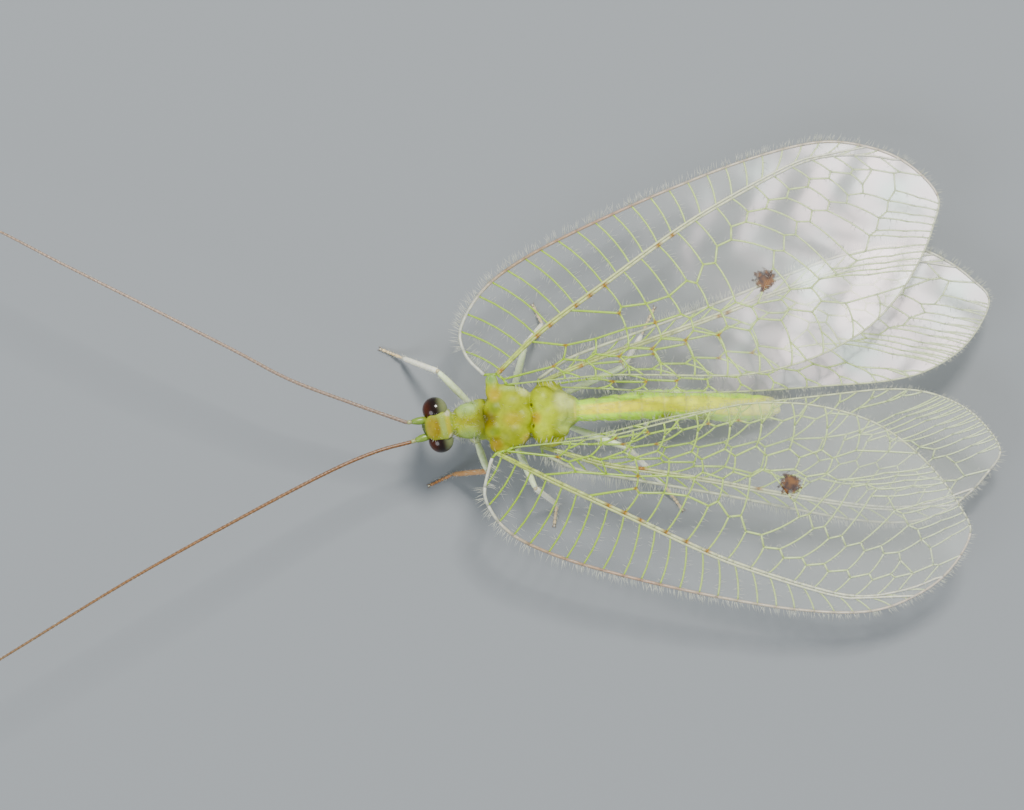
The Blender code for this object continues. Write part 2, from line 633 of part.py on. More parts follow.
def make_wing(name):
    """A clear membrane with its veins raised as ridges in both of its faces."""
    plan, side, root, spread, root_z, fullness = WINGS[name]
    length, _, ties, ends = WING_PLANS[plan]
    knots, pairs, rows, stops = wing_network(hinged(plan, spread, fullness), ties)
    edges = join_ends(ends, knots, pairs, rows, stops)
    knots = [k * length for k in knots]
    cells = cells_of(knots, edges)
    rim = min(cells, key=lambda c: area([knots[i] for i in c]))
    margin = set(rim)
    cells = [c for c in cells if c is not rim]

    out = Vector((math.cos(spread), side * math.sin(spread)))
    front = Vector((-math.sin(spread), side * math.cos(spread)))
    bm = bmesh.new()

    def place(p, half):
        plan_at = Vector(root) + out * p.x + front * p.y
        z = root_z - ROOF_SLOPE * p.y - TIP_DROOP * (p.x / length) ** 2
        return [bm.verts.new((plan_at.x, plan_at.y, z + face * half)) for face in (1, -1)]

    half = MEMBRANE_THICK / 2
    crest = {}
    for i in {i for c in cells for i in c}:
        crest[i] = place(knots[i], MARGIN_THICK / 2 if i in margin else half + VEIN_RAISE)
    for cell in cells:
        loop = inset([knots[i] for i in cell], VEIN_HALF_WIDTH)
        inner = [place(p, half) for p in loop]
        triangles = [t for t in tessellate_polygon([[p.to_3d() for p in loop]])]
        for face in (0, 1):
            for i in range(len(cell)):
                j = (i + 1) % len(cell)
                a, b = crest[cell[i]][face], crest[cell[j]][face]
                bm.faces.new((a, b, inner[j][face]))
                bm.faces.new((a, inner[j][face], inner[i][face]))
            for triangle in triangles:
                bm.faces.new([inner[i][face] for i in triangle])
    for i, j in zip(rim, rim[1:] + rim[:1]):
        bm.faces.new((crest[i][0], crest[j][0], crest[j][1]))
        bm.faces.new((crest[i][0], crest[j][1], crest[i][1]))
    bmesh.ops.recalc_face_normals(bm, faces=bm.faces)
    finish(name, bm, "wing")


def build():
    """The whole animal."""
    for old in list(bpy.data.objects):
        bpy.data.objects.remove(old, do_unlink=True)
    make_trunk()
    make_abdomen()
    make_head()
    make_mouth()
    make_feelers()
    make_legs()
    for name in WINGS:
        make_wing(name)


build()
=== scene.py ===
import math

import bpy
import numpy as np
from mathutils import Matrix, Vector
from mathutils.geometry import delaunay_2d_cdt
from mathutils.kdtree import KDTree


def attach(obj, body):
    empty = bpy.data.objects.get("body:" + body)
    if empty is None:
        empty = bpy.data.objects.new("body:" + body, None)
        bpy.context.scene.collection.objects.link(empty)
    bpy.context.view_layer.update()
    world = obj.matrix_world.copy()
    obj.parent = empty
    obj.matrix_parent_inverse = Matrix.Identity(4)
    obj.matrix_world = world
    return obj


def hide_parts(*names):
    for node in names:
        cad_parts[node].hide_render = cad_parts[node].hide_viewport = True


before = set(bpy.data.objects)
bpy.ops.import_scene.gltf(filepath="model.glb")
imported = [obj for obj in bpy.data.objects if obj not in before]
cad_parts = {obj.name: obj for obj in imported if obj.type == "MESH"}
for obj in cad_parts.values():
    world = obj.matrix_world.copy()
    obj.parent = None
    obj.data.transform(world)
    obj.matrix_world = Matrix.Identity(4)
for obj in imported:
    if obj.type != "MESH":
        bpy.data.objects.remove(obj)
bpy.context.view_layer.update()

# Camera
# It looks straight down at the animal through a long lens from far off, as the photo does. All that
# follows is modelled in millimetres from the middle of the thorax, and each piece then set in metres.
MM = 0.001
THORAX_AT = Vector((1.80, 0.10, 0.0))
PHOTO_SIZE = (1024, 810)
PIXELS_PER_MM = 30.0
PHOTO_TURN = math.radians(-3)
PHOTO_MIDDLE = Vector((1.88, 0.43, 2.60))
LENS = 200.0
SENSOR = 36.0
CLIP_START, CLIP_END = 0.005, 5.0

photo_width = PHOTO_SIZE[0] / PIXELS_PER_MM
camera_data = bpy.data.cameras.new("camera")
camera_data.lens = LENS
camera_data.sensor_width = SENSOR
camera_data.clip_start = CLIP_START
camera_data.clip_end = CLIP_END
camera = bpy.data.objects.new("camera", camera_data)
camera.location = (PHOTO_MIDDLE + Vector((0, 0, photo_width * LENS / SENSOR))) * MM
camera.rotation_euler = (0, 0, PHOTO_TURN)
bpy.context.scene.collection.objects.link(camera)
bpy.context.scene.camera = camera

# Floor
# A plain, pale, matte studio floor, for the six feet to stand on.
FLOOR_SIZE = 2.0
FLOOR_COLOUR = "84888B"


def linear(hex_colour):
    """An sRGB hex colour as linear red, green, blue and alpha."""
    channels = [int(hex_colour[i:i + 2], 16) / 255 for i in (0, 2, 4)]
    toned = [c / 12.92 if c <= 0.04045 else ((c + 0.055) / 1.055) ** 2.4 for c in channels]
    return (*toned, 1.0)


def add_node(material, kind, inputs=(), **settings):
    """A shader node with its settings, and its sockets set or linked."""
    made = material.node_tree.nodes.new("ShaderNode" + kind)
    for name, value in settings.items():
        setattr(made, name, value)
    for socket, value in dict(inputs).items():
        if isinstance(value, bpy.types.NodeSocket):
            material.node_tree.links.new(value, made.inputs[socket])
        else:
            made.inputs[socket].default_value = value
    return made


def new_material(name, inputs):
    """A material with its Principled shader's own sockets set."""
    material = bpy.data.materials.new(name)
    material.use_nodes = True
    shader = material.node_tree.nodes["Principled BSDF"]
    for socket, value in inputs.items():
        shader.inputs[socket].default_value = value
    return material, shader


def link(material, output, shader, socket):
    """Feed a socket of the material's shader."""
    material.node_tree.links.new(output, shader.inputs[socket])


floor_paint, _ = new_material("matte studio board", {
    "Base Color": linear(FLOOR_COLOUR), "Roughness": 0.85, "Specular IOR Level": 0.2})
bpy.ops.mesh.primitive_plane_add(size=FLOOR_SIZE)
floor = bpy.context.object
floor.name = "floor"
floor.data.materials.append(floor_paint)

# Light
# Two soft boxes and a dim, even sky. The key light stands behind the animal's right side, where the
# wings' slopes mirror it to the camera.
LIGHTS = (
    ("key", (0.064, 0.176, 0.273), 0.085, 1.62, "FFFDF8"),
    ("fill", (-0.20, -0.16, 0.24), 0.22, 0.75, "F1F6FF"),
)
SKY_COLOUR = "E9EEF2"
SKY_STRENGTH = 0.62

for name, place, size, power, colour in LIGHTS:
    lamp = bpy.data.lights.new(name, "AREA")
    lamp.shape = "DISK"
    lamp.size = size
    lamp.energy = power
    lamp.color = linear(colour)[:3]
    holder = bpy.data.objects.new(name, lamp)
    holder.location = place
    holder.rotation_euler = Vector(place).to_track_quat("Z", "Y").to_euler()
    bpy.context.scene.collection.objects.link(holder)
sky = bpy.data.worlds.new("sky")
sky.use_nodes = True
sky.node_tree.nodes["Background"].inputs["Color"].default_value = linear(SKY_COLOUR)
sky.node_tree.nodes["Background"].inputs["Strength"].default_value = SKY_STRENGTH
bpy.context.scene.world = sky

# Skin
# The cuticle of head, neck, thorax and abdomen, one thin waxy shell over soft, green flesh, folded
# in at the rings. It is blocked out with extruded lengths and balls, which are fused and smoothed.
HEAD_AT = Vector((-2.40, -0.20, 2.45))
# The head is turned and leans a little to the left
HEAD_TURN = Matrix.Rotation(math.radians(8.7), 3, "Z") @ Matrix.Rotation(math.radians(11), 3, "X")
# Stations: x, middle y, half width, bottom z, top z; those of the head are ahead of its middle
HEAD = ((-0.49, 0.34, 2.22, 2.72), (-0.45, 0.47, 2.10, 2.83), (-0.28, 0.49, 1.98, 2.90),
        (-0.05, 0.46, 1.92, 2.92), (0.18, 0.44, 1.90, 2.90), (0.36, 0.41, 1.92, 2.83),
        (0.46, 0.35, 2.00, 2.74), (0.51, 0.25, 2.14, 2.60))
NECK = ((-2.10, -0.18, 0.30, 2.20, 2.72), (-1.95, -0.17, 0.36, 2.12, 2.78),
        (-1.80, -0.16, 0.36, 2.12, 2.78), (-1.62, -0.16, 0.40, 2.08, 2.82))
PROTHORAX = ((-1.89, -0.16, 0.38, 2.16, 2.74), (-1.84, -0.16, 0.48, 2.06, 2.84),
             (-1.62, -0.14, 0.55, 2.00, 2.92), (-1.42, -0.12, 0.61, 1.97, 2.96),
             (-1.32, -0.11, 0.62, 1.96, 2.95), (-1.22, -0.10, 0.66, 1.94, 3.01),
             (-1.00, -0.09, 0.70, 1.92, 3.09), (-0.84, -0.09, 0.70, 1.93, 3.10),
             (-0.72, -0.10, 0.58, 1.98, 3.02))
MESOTHORAX = ((-0.92, -0.12, 0.52, 2.00, 2.98), (-0.78, -0.12, 0.72, 1.86, 3.24),
              (-0.58, -0.12, 0.86, 1.76, 3.46), (-0.34, -0.12, 0.98, 1.70, 3.58),
              (0.00, -0.12, 0.98, 1.68, 3.62), (0.28, -0.12, 0.90, 1.70, 3.56),
              (0.50, -0.11, 0.82, 1.74, 3.46), (0.66, -0.11, 0.68, 1.80, 3.30),
              (0.74, -0.11, 0.56, 1.90, 3.10))
METATHORAX = ((0.60, -0.11, 0.60, 1.90, 3.04), (0.78, -0.11, 0.74, 1.78, 3.26),
              (1.00, -0.08, 0.84, 1.70, 3.38), (1.30, -0.06, 0.86, 1.68, 3.40),
              (1.60, -0.03, 0.78, 1.66, 3.26), (1.90, 0.03, 0.63, 1.68, 3.00),
              (2.12, 0.05, 0.49, 1.72, 2.76), (2.34, 0.05, 0.36, 1.78, 2.58))
ABDOMEN_START = 2.16
ABDOMEN_END = 8.92
ABDOMEN_SEGMENTS = 9
ABDOMEN_SIDES = 40
ABDOMEN_LOWEST = 0.015
ABDOMEN_MIDDLE_Y = ((2.16, 0.02), (4.90, 0.10), (6.25, 0.02), (7.65, -0.16), (9.05, -0.20))
ABDOMEN_MIDDLE_Z = ((2.16, 2.20), (5.00, 1.47), (7.60, 0.70), (8.50, 0.47), (9.05, 0.42))
ABDOMEN_HALF_WIDTH = ((2.16, 0.34), (3.50, 0.43), (5.20, 0.51), (7.60, 0.50), (8.50, 0.41),
                      (8.92, 0.30))
# Along a segment: how far, and how full it is there
SEGMENT_PROFILE = ((0.00, 0.885), (0.07, 0.94), (0.30, 1.00), (0.85, 1.03), (0.97, 0.985))
# Balls: middle and half sizes; those of the head are ahead, to its right, and up, and come in pairs
# where they lie beside its middle
HEAD_BALLS = (
    ("front of the crown", (0.14, 0.00, 2.79), (0.34, 0.45, 0.14)),
    ("middle of the crown", (-0.04, 0.00, 2.80), (0.36, 0.47, 0.13)),
    ("back of the crown", (-0.18, 0.00, 2.80), (0.32, 0.48, 0.13)),
    ("brow", (0.42, 0.00, 2.34), (0.14, 0.28, 0.32)),
    ("socket rims", (0.44, 0.27, 2.61), (0.10, 0.14, 0.14)),
    ("shield", (0.43, 0.00, 1.90), (0.13, 0.25, 0.20)),
    ("cheeks", (0.12, 0.24, 1.98), (0.28, 0.16, 0.26)),
    ("lip", (0.43, 0.00, 1.62), (0.08, 0.18, 0.16)),
    ("jaws", (0.33, 0.15, 1.56), (0.11, 0.10, 0.24)),
    ("under lip", (0.20, 0.00, 1.58), (0.10, 0.16, 0.28)),
    ("throat", (0.08, 0.00, 1.86), (0.26, 0.26, 0.22)),
)
BALLS = (
    ("right saddle lobe", (-1.42, 0.17, 2.82), (0.40, 0.30, 0.15)),
    ("left saddle lobe", (-1.40, -0.44, 2.82), (0.40, 0.28, 0.15)),
    ("right front lobe", (-0.50, 0.20, 3.26), (0.38, 0.42, 0.32)),
    ("left front lobe", (-0.50, -0.44, 3.26), (0.38, 0.42, 0.32)),
    ("right back lobe", (0.06, 0.36, 3.20), (0.58, 0.52, 0.42)),
    ("left back lobe", (0.06, -0.58, 3.20), (0.58, 0.52, 0.42)),
    ("shield of the second ring", (0.40, -0.11, 3.30), (0.34, 0.40, 0.28)),
    ("right flank", (-0.10, 0.62, 2.44), (0.62, 0.32, 0.62)),
    ("left flank", (-0.10, -0.86, 2.44), (0.62, 0.32, 0.62)),
    ("right hind lobe", (1.08, 0.40, 3.00), (0.44, 0.56, 0.38)),
    ("left hind lobe", (1.08, -0.50, 3.00), (0.42, 0.54, 0.38)),
    ("shield of the third ring", (1.56, -0.04, 3.00), (0.36, 0.36, 0.24)),
    ("right hind flank", (1.42, 0.44, 2.50), (0.60, 0.38, 0.60)),
    ("left hind flank", (1.38, -0.58, 2.50), (0.58, 0.36, 0.60)),
    ("right wing knob", (-0.52, 0.82, 3.26), (0.28, 0.34, 0.17)),
    ("right humeral plate", (-0.56, 1.14, 3.27), (0.24, 0.28, 0.07)),
    ("right wing pad", (-0.10, 0.74, 3.24), (0.56, 0.32, 0.15)),
    ("right shoulder", (0.02, 0.62, 3.06), (0.68, 0.36, 0.32)),
    ("left wing knob", (-0.48, -0.94, 3.26), (0.26, 0.30, 0.17)),
    ("left wing pad", (-0.20, -0.98, 3.24), (0.40, 0.36, 0.13)),
    ("left shoulder", (-0.12, -0.80, 3.06), (0.64, 0.36, 0.32)),
    ("right hindwing pad", (1.30, 0.70, 2.62), (0.50, 0.40, 0.22)),
    ("left hindwing pad", (1.30, -0.78, 2.62), (0.50, 0.38, 0.22)),
    ("right tail valve", (8.96, -0.10, 0.50), (0.16, 0.15, 0.22)),
    ("left tail valve", (8.96, -0.30, 0.50), (0.16, 0.15, 0.22)),
)
SKIN_SIDES = 28
SKIN_VOXEL = 0.032
SKIN_SMOOTHING = 4
THORAX_SMOOTHING = 22
# Where the stronger smoothing of the thorax sets in and fades out, and in how many levels
THORAX_SETS_IN = (-1.15, -0.75)
THORAX_FADES_OUT = (2.1, 2.5)
THORAX_LEVELS = 5


def select_only(*pieces):
    """Select these pieces alone, with the first one active."""
    bpy.ops.object.select_all(action="DESELECT")
    for piece in pieces:
        piece.select_set(True)
    bpy.context.view_layer.objects.active = pieces[0]


def loft(stations, sides=SKIN_SIDES):
    """A length of body: a disc at its first station, extruded to each of the next and scaled."""
    spots = [(Vector((x, y, (bottom + top) / 2)), half, (top - bottom) / 2)
             for x, y, half, bottom, top in stations]
    centre, wide, high = spots[0]
    bpy.ops.object.select_all(action="DESELECT")
    bpy.ops.mesh.primitive_circle_add(vertices=sides, radius=1, fill_type="NGON", location=centre,
                                      rotation=(0, math.radians(90), 0))
    piece = bpy.context.object
    bpy.ops.object.mode_set(mode="EDIT")
    bpy.ops.transform.resize(value=(1, wide, high), center_override=centre)
    for new_centre, new_wide, new_high in spots[1:]:
        bpy.ops.mesh.extrude_region_move(TRANSFORM_OT_translate={"value": new_centre - centre})
        bpy.ops.transform.resize(value=(1, new_wide / wide, new_high / high),
                                 center_override=new_centre)
        centre, wide, high = new_centre, new_wide, new_high
    bpy.ops.mesh.select_all(action="SELECT")
    bpy.ops.mesh.normals_make_consistent(inside=False)
    bpy.ops.object.mode_set(mode="OBJECT")
    bpy.ops.object.transform_apply(location=True, rotation=True, scale=True)
    return piece


def ball(at, radii, turn=(0, 0, 0), fineness=4):
    """A smooth lump of the skin."""
    bpy.ops.object.select_all(action="DESELECT")
    bpy.ops.mesh.primitive_ico_sphere_add(subdivisions=fineness, radius=1, location=at,
                                          rotation=turn, scale=radii)
    bpy.ops.object.transform_apply(location=True, rotation=True, scale=True)
    return bpy.context.object


def modify(piece, kind, **settings):
    """Add a modifier with its settings and apply it."""
    select_only(piece)
    modifier = piece.modifiers.new(kind, kind)
    for name, value in settings.items():
        setattr(modifier, name, value)
    bpy.ops.object.modifier_apply(modifier=modifier.name)


def join(name, pieces):
    """One object of several."""
    select_only(*pieces)
    bpy.ops.object.join()
    pieces[0].name = name
    pieces[0].data.name = name
    return pieces[0]


def head_point(ahead, right, z):
    """A place on the turned head: ahead of its middle, to the animal's right, and its height."""
    return HEAD_AT + HEAD_TURN @ Vector((-ahead, right, z - HEAD_AT.z))


def along(table, x):
    """The value at x of a table of x and value pairs, with straight stretches between them."""
    return float(np.interp(x, [row[0] for row in table], [row[1] for row in table]))


def soft_step(value, low, high):
    """0 below the low value and 1 above the high one, with a soft passage."""
    t = np.clip((value - low) / (high - low), 0, 1)
    return t * t * (3 - 2 * t)


def points_of(piece):
    """The piece's points as an array."""
    flat = np.zeros(len(piece.data.vertices) * 3, np.float32)
    piece.data.vertices.foreach_get("co", flat)
    return flat.reshape(-1, 3)


def finish_piece(piece, slot, *nodes):
    """Set a piece modelled in thorax millimetres in its place in metres, and fix it to the body."""
    piece.data.transform(Matrix.Scale(MM, 4) @ Matrix.Translation(THORAX_AT))
    piece.data.shade_smooth()
    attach(piece, "root")
    if nodes:
        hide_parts(*nodes)


head_middle = HEAD_AT.z
head = loft([(-ahead, 0, half, bottom - head_middle, top - head_middle)
             for ahead, half, bottom, top in HEAD[::-1]])
head.data.transform(Matrix.Translation(HEAD_AT) @ HEAD_TURN.to_4x4())
lengths = [head] + [loft(stations) for stations in (NECK, PROTHORAX, MESOTHORAX, METATHORAX)]
abdomen_stations = []
for segment in range(ABDOMEN_SEGMENTS):
    for share, fullness in SEGMENT_PROFILE:
        x = ABDOMEN_START + (ABDOMEN_END - ABDOMEN_START) * (segment + share) / ABDOMEN_SEGMENTS
        half = along(ABDOMEN_HALF_WIDTH, x) * fullness
        z = along(ABDOMEN_MIDDLE_Z, x)
        abdomen_stations.append((x, along(ABDOMEN_MIDDLE_Y, x), half, max(z - half, ABDOMEN_LOWEST),
                                 z + half))
lengths.append(loft(abdomen_stations, ABDOMEN_SIDES))
for length in lengths[:-1]:
    modify(length, "SUBSURF", levels=2, render_levels=2)
lumps = [ball(head_point(ahead, side * out, z), radii, HEAD_TURN.to_euler())
         for _, (ahead, out, z), radii in HEAD_BALLS for side in ((1, -1) if out else (1,))]
lumps += [ball(at, radii) for _, at, radii in BALLS]
skin = join("lacewing_skin", lengths + lumps)
modify(skin, "REMESH", mode="VOXEL", voxel_size=SKIN_VOXEL)
modify(skin, "SMOOTH", factor=0.5, iterations=SKIN_SMOOTHING)
# The thorax again, more, so that its lobes run into one another as soft cuticle does
along_body = points_of(skin)[:, 0]
softness = soft_step(along_body, *THORAX_SETS_IN) * (1 - soft_step(along_body, *THORAX_FADES_OUT))
thorax = skin.vertex_groups.new(name="thorax")
for level in range(1, THORAX_LEVELS + 1):
    at_level = np.flatnonzero(np.rint(softness * THORAX_LEVELS) == level)
    thorax.add(at_level.tolist(), level / THORAX_LEVELS, "REPLACE")
modify(skin, "SMOOTH", factor=0.5, iterations=THORAX_SMOOTHING, vertex_group="thorax")

# Markings and painted light: colour, middle and half sizes of each soft-edged patch, in painting
# order
SKIN_BASE = "97A202"
SKIN_PATCHES = (
    # Underside of the trunk, paler
    ("A9B172", (0.0, -0.10, 1.70), (3.2, 1.6, 0.75)),
    # Saddle of the first ring: mint sides, yellow-green middle, olive back edge
    ("91AE64", (-1.46, 0.38, 2.80), (0.54, 0.38, 0.60)),
    # The left side darker than the right: painted shade, away from the light
    ("768E46", (-1.40, -0.64, 2.80), (0.62, 0.38, 0.60)),
    ("878602", (-1.42, -0.13, 3.00), (0.60, 0.15, 0.30)),
    ("686A00", (-0.92, -0.12, 3.05), (0.30, 0.66, 0.50)),
    # Second ring: ochre front, orange-yellow wing knobs, yellow middle; its left side darker, painted
    # shade
    ("675A00", (-0.68, -0.12, 3.40), (0.32, 0.48, 0.50)),
    ("6E7F00", (-0.52, 0.28, 3.50), (0.26, 0.26, 0.34)),
    ("6E7F00", (-0.52, -0.52, 3.50), (0.26, 0.24, 0.34)),
    ("AC9818", (-0.50, 0.70, 3.40), (0.30, 0.30, 0.40)),
    ("816C06", (-0.50, -0.95, 3.40), (0.30, 0.34, 0.40)),
    ("9DB056", (0.12, 0.92, 3.20), (0.46, 0.22, 0.40)),
    ("769B48", (-0.58, 1.26, 3.26), (0.32, 0.28, 0.30)),
    ("7F8412", (0.02, -1.16, 3.24), (0.46, 0.22, 0.40)),
    ("7D8700", (0.02, -0.66, 3.46), (0.46, 0.32, 0.50)),
    ("A29600", (0.10, -0.14, 3.66), (0.48, 0.34, 0.30)),
    ("CBD47D", (0.48, 0.78, 3.20), (0.28, 0.26, 0.40)),
    ("B1A23A", (0.50, -0.80, 3.24), (0.28, 0.24, 0.40)),
    # Third ring: yellow-green lobes, golden front, pale back, paler on the right with a painted
    # highlight
    ("A9BA00", (1.10, -0.10, 3.36), (0.58, 1.10, 0.60)),
    ("A89100", (0.86, -0.14, 3.30), (0.22, 0.26, 0.40)),
    # Right back: its own pale colour lifted by a painted highlight; the left one darker, painted
    # shade
    ("C9D47A", (1.86, 0.40, 2.86), (0.56, 0.52, 0.80)),
    ("B6CC5C", (1.88, -0.36, 2.86), (0.50, 0.46, 0.80)),
    ("D4D44E", (2.17, 0.02, 2.70), (0.06, 0.34, 0.40)),
    ("3C3600", (0.72, 0.30, 3.24), (0.06, 0.07, 0.24)),
    ("3C3600", (0.76, -0.40, 3.24), (0.05, 0.09, 0.24)),
    # Painted shade on the left of the abdomen, olive
    ("98AA00", (5.25, -0.32, 1.60), (0.46, 0.24, 0.60)),
    ("93A600", (6.45, -0.44, 1.30), (0.40, 0.22, 0.60)),
)
HEAD_BASE = "8B9A2E"
HEAD_PATCHES = (
    ("465804", (0.50, 0.00, 2.52), (0.26, 0.56, 0.44)),
    ("867602", (0.20, 0.00, 2.96), (0.34, 0.58, 0.26)),
    ("816E06", (0.05, 0.00, 2.98), (0.10, 0.36, 0.20)),
    ("91A04B", (-0.15, 0.00, 2.98), (0.12, 0.56, 0.26)),
    ("A49D21", (-0.33, 0.00, 2.90), (0.10, 0.50, 0.30)),
    ("BFBBA2", (-0.38, 0.42, 2.78), (0.13, 0.15, 0.26)),
    ("BFB9A2", (-0.38, -0.42, 2.78), (0.15, 0.17, 0.26)),
    ("A6954B", (0.40, 0.00, 1.62), (0.30, 0.40, 0.40)),
    ("724921", (0.34, 0.00, 1.34), (0.24, 0.30, 0.14)),
)
# How strongly the patches cover, and where their soft edges start and end, in half sizes
SKIN_COVER = (0.9, 0.30, 1.18)
HEAD_COVER = (0.92, 0.45, 1.10)
NAPE = (-1.98, -1.84)
# Stripe down the abdomen, paler segment edges and the pale tip
ABDOMEN_SIDE = "C8FF3C"
ABDOMEN_BELLY = "D2F480"
# Where these set in: along the body, and downwards and upwards from its middle, in half widths
SIDE_SETS_IN = (2.10, 2.30)
BELLY_SETS_IN = (0.1, 0.8)
BACK_SETS_IN = (0.0, 0.5)
ABDOMEN_STRIPE = ((2.2, "EEE400"), (4.4, "EEF200"), (5.9, "F6FF40"), (7.4, "FCFF70"))
STRIPE_HALF_WIDTH = 0.30
STRIPE_AT_FRONT = 0.75
STRIPE_GAIN = 0.35
STRIPE_WIDENS = (2.3, 7.0)
STRIPE_CORE = 0.55
STRIPE_SHIFT = 0.02
STRIPE_PASSAGE = 0.8
TIP_COLOUR = "FAFF80"
TIP_START = 8.15
SEGMENT_EDGE = "EEF07A"
SEGMENT_EDGE_SHARE = 0.45
SEGMENT_EDGE_WIDTH = 0.045
# Patterns of the cuticle, how many to the millimetre
MOTTLES_PER_MM = 4.2
GRAINS_PER_MM = 40
FOLDS_PER_MM = 7


def mixed(colours, colour, share):
    """The colours turned towards one colour, each by its share."""
    return colours + (np.array(linear(colour)) - colours) * share[:, None]


def paint(piece, name, colours):
    """Keep a colour for each point of the mesh."""
    made = piece.data.color_attributes.new(name, "FLOAT_COLOR", "POINT")
    made.data.foreach_set("color", np.ascontiguousarray(colours, np.float32).ravel())


def patched(colours, points, patches, cover, where=1.0):
    """The colours with soft-edged patches laid over them, by their middles and half sizes."""
    strength, core, rim = cover
    for colour, at, radii in patches:
        away = np.sqrt((((points - np.array(at)) / np.array(radii)) ** 2).sum(1))
        colours = mixed(colours, colour, strength * where * (1 - soft_step(away, core, rim)))
    return colours


def skin_colours(points):
    """The colours at any points of the body: its own marks, painted shade and a painted highlight."""
    x, y, z = points.T
    colours = np.tile(np.array(linear(SKIN_BASE)), (len(points), 1))
    abdomen = soft_step(x, *SIDE_SETS_IN)
    middle_y = np.interp(x, *zip(*ABDOMEN_MIDDLE_Y))
    middle_z = np.interp(x, *zip(*ABDOMEN_MIDDLE_Z))
    half = np.interp(x, *zip(*ABDOMEN_HALF_WIDTH))
    up = (z - middle_z) / half
    colours = mixed(colours, ABDOMEN_SIDE, abdomen)
    colours = mixed(colours, ABDOMEN_BELLY, abdomen * soft_step(-up, *BELLY_SETS_IN))
    widening = STRIPE_AT_FRONT + STRIPE_GAIN * soft_step(x, *STRIPE_WIDENS)
    stripe_width = STRIPE_HALF_WIDTH * widening
    stripe = abdomen * soft_step(up, *BACK_SETS_IN)
    from_middle = np.abs(y - middle_y - STRIPE_SHIFT)
    stripe = stripe * (1 - soft_step(from_middle, STRIPE_CORE * stripe_width, stripe_width))
    for start, colour in ABDOMEN_STRIPE:
        begun = soft_step(x, start - STRIPE_PASSAGE, start + STRIPE_PASSAGE)
        colours = mixed(colours, colour, stripe * begun)
    for joint in range(1, ABDOMEN_SEGMENTS):
        at = ABDOMEN_START + (ABDOMEN_END - ABDOMEN_START) * joint / ABDOMEN_SEGMENTS
        on_edge = np.exp(-((x - at) / SEGMENT_EDGE_WIDTH) ** 2)
        colours = mixed(colours, SEGMENT_EDGE, abdomen * SEGMENT_EDGE_SHARE * on_edge)
    colours = mixed(colours, TIP_COLOUR, soft_step(x, TIP_START, ABDOMEN_END))
    colours = patched(colours, points, SKIN_PATCHES, SKIN_COVER)
    local = (points - np.array(HEAD_AT)) @ np.array(HEAD_TURN) * np.array((-1, 1, 1))
    local[:, 2] += HEAD_AT.z
    on_head = 1 - soft_step(x, *NAPE)
    colours = mixed(colours, HEAD_BASE, on_head)
    return patched(colours, local, HEAD_PATCHES, HEAD_COVER, on_head)


def mottled(material, where, colour, per_mm, detail, darkest, lightest):
    """A colour with a fine, cloudy change of lightness over it, so many clouds to the millimetre."""
    clouds = add_node(material, "TexNoise", {
        "Vector": where, "Scale": per_mm / MM, "Detail": detail})
    value = add_node(material, "MapRange", {
        "Value": clouds.outputs["Fac"], "From Min": 0.3, "From Max": 0.7, "To Min": darkest,
        "To Max": lightest}).outputs["Result"]
    return add_node(material, "HueSaturation", {"Color": colour, "Value": value}).outputs["Color"]


skin_points = points_of(skin)
# The skin's colours, with the painted shade and highlight among them, kept on its points
paint(skin, "markings_and_painted_light", skin_colours(skin_points))

# Insect cuticle, secreted and hardened: a waxy, slightly translucent shell with soft, broad lights.
# Its real microtrichia are about 5 micrometres apart, drawn here at 25 to show at all.
cuticle, cuticle_shader = new_material("waxy green cuticle", {
    "Roughness": 0.44, "Specular IOR Level": 0.18, "Subsurface Weight": 0.35,
    "Subsurface Radius": (1.0, 0.9, 0.12), "Subsurface Scale": 0.00030, "Coat Weight": 0.04,
    "Coat Roughness": 0.30})
where = add_node(cuticle, "TexCoord").outputs["Object"]
# The skin's own colours, with painted shade and highlight among them
markings_and_painted_light = add_node(cuticle, "Attribute", attribute_name="markings_and_painted_light").outputs["Color"]
skin_colour = mottled(cuticle, where, markings_and_painted_light, MOTTLES_PER_MM, 4.0, 0.84, 1.12)
link(cuticle, skin_colour, cuticle_shader, "Base Color")
grain = add_node(cuticle, "TexNoise", {
    "Vector": where, "Scale": GRAINS_PER_MM / MM, "Detail": 2.0})
folds = add_node(cuticle, "TexNoise", {"Vector": where, "Scale": FOLDS_PER_MM / MM, "Detail": 3.0})
relief = add_node(cuticle, "Math", {0: grain.outputs["Fac"], 1: 0.25, 2: folds.outputs["Fac"]},
                  operation="MULTIPLY_ADD")
bump = add_node(cuticle, "Bump", {"Height": relief.outputs["Value"], "Distance": 0.00003,
                                  "Strength": 0.5})
link(cuticle, bump.outputs["Normal"], cuticle_shader, "Normal")
skin.data.materials.clear()
skin.data.materials.append(cuticle)
body_shape = skin.data.copy()
finish_piece(skin, "green_cuticle", "head", "mouthparts", "prothorax", "mesothorax", "metathorax",
             "abdomen")

# Eyes
# Two bulging half globes of some thousand lenses each, set on flat sockets of the head. They are
# dark red-brown in front, with a paler golden-green back half, partly painted highlight, and a thin
# pale rim.
EYE_MIDDLE = (0.02, 0.53, 2.45)
EYE_RADII = (0.42, 0.42, 0.41)
EYE_LENSES = 5
LENS_BULGE = 0.0035
EYE_FRONT = "421600"
# The back band's pale golden-green is partly the eye's own colour, partly a painted highlight
# From the front at -1 to the back at 1: each next colour, how fully it covers, and where it sets in
EYE_BANDS = (("150501", 1.0, (-0.85, -0.10)), ("80895E", 0.85, (0.05, 0.85)))
# The pale rim: its colour, how fully it covers, which way it faces, and where it sets in
EYE_RIM = ("CBC4A3", 0.8, (0.85, -0.45), (0.80, 0.95))

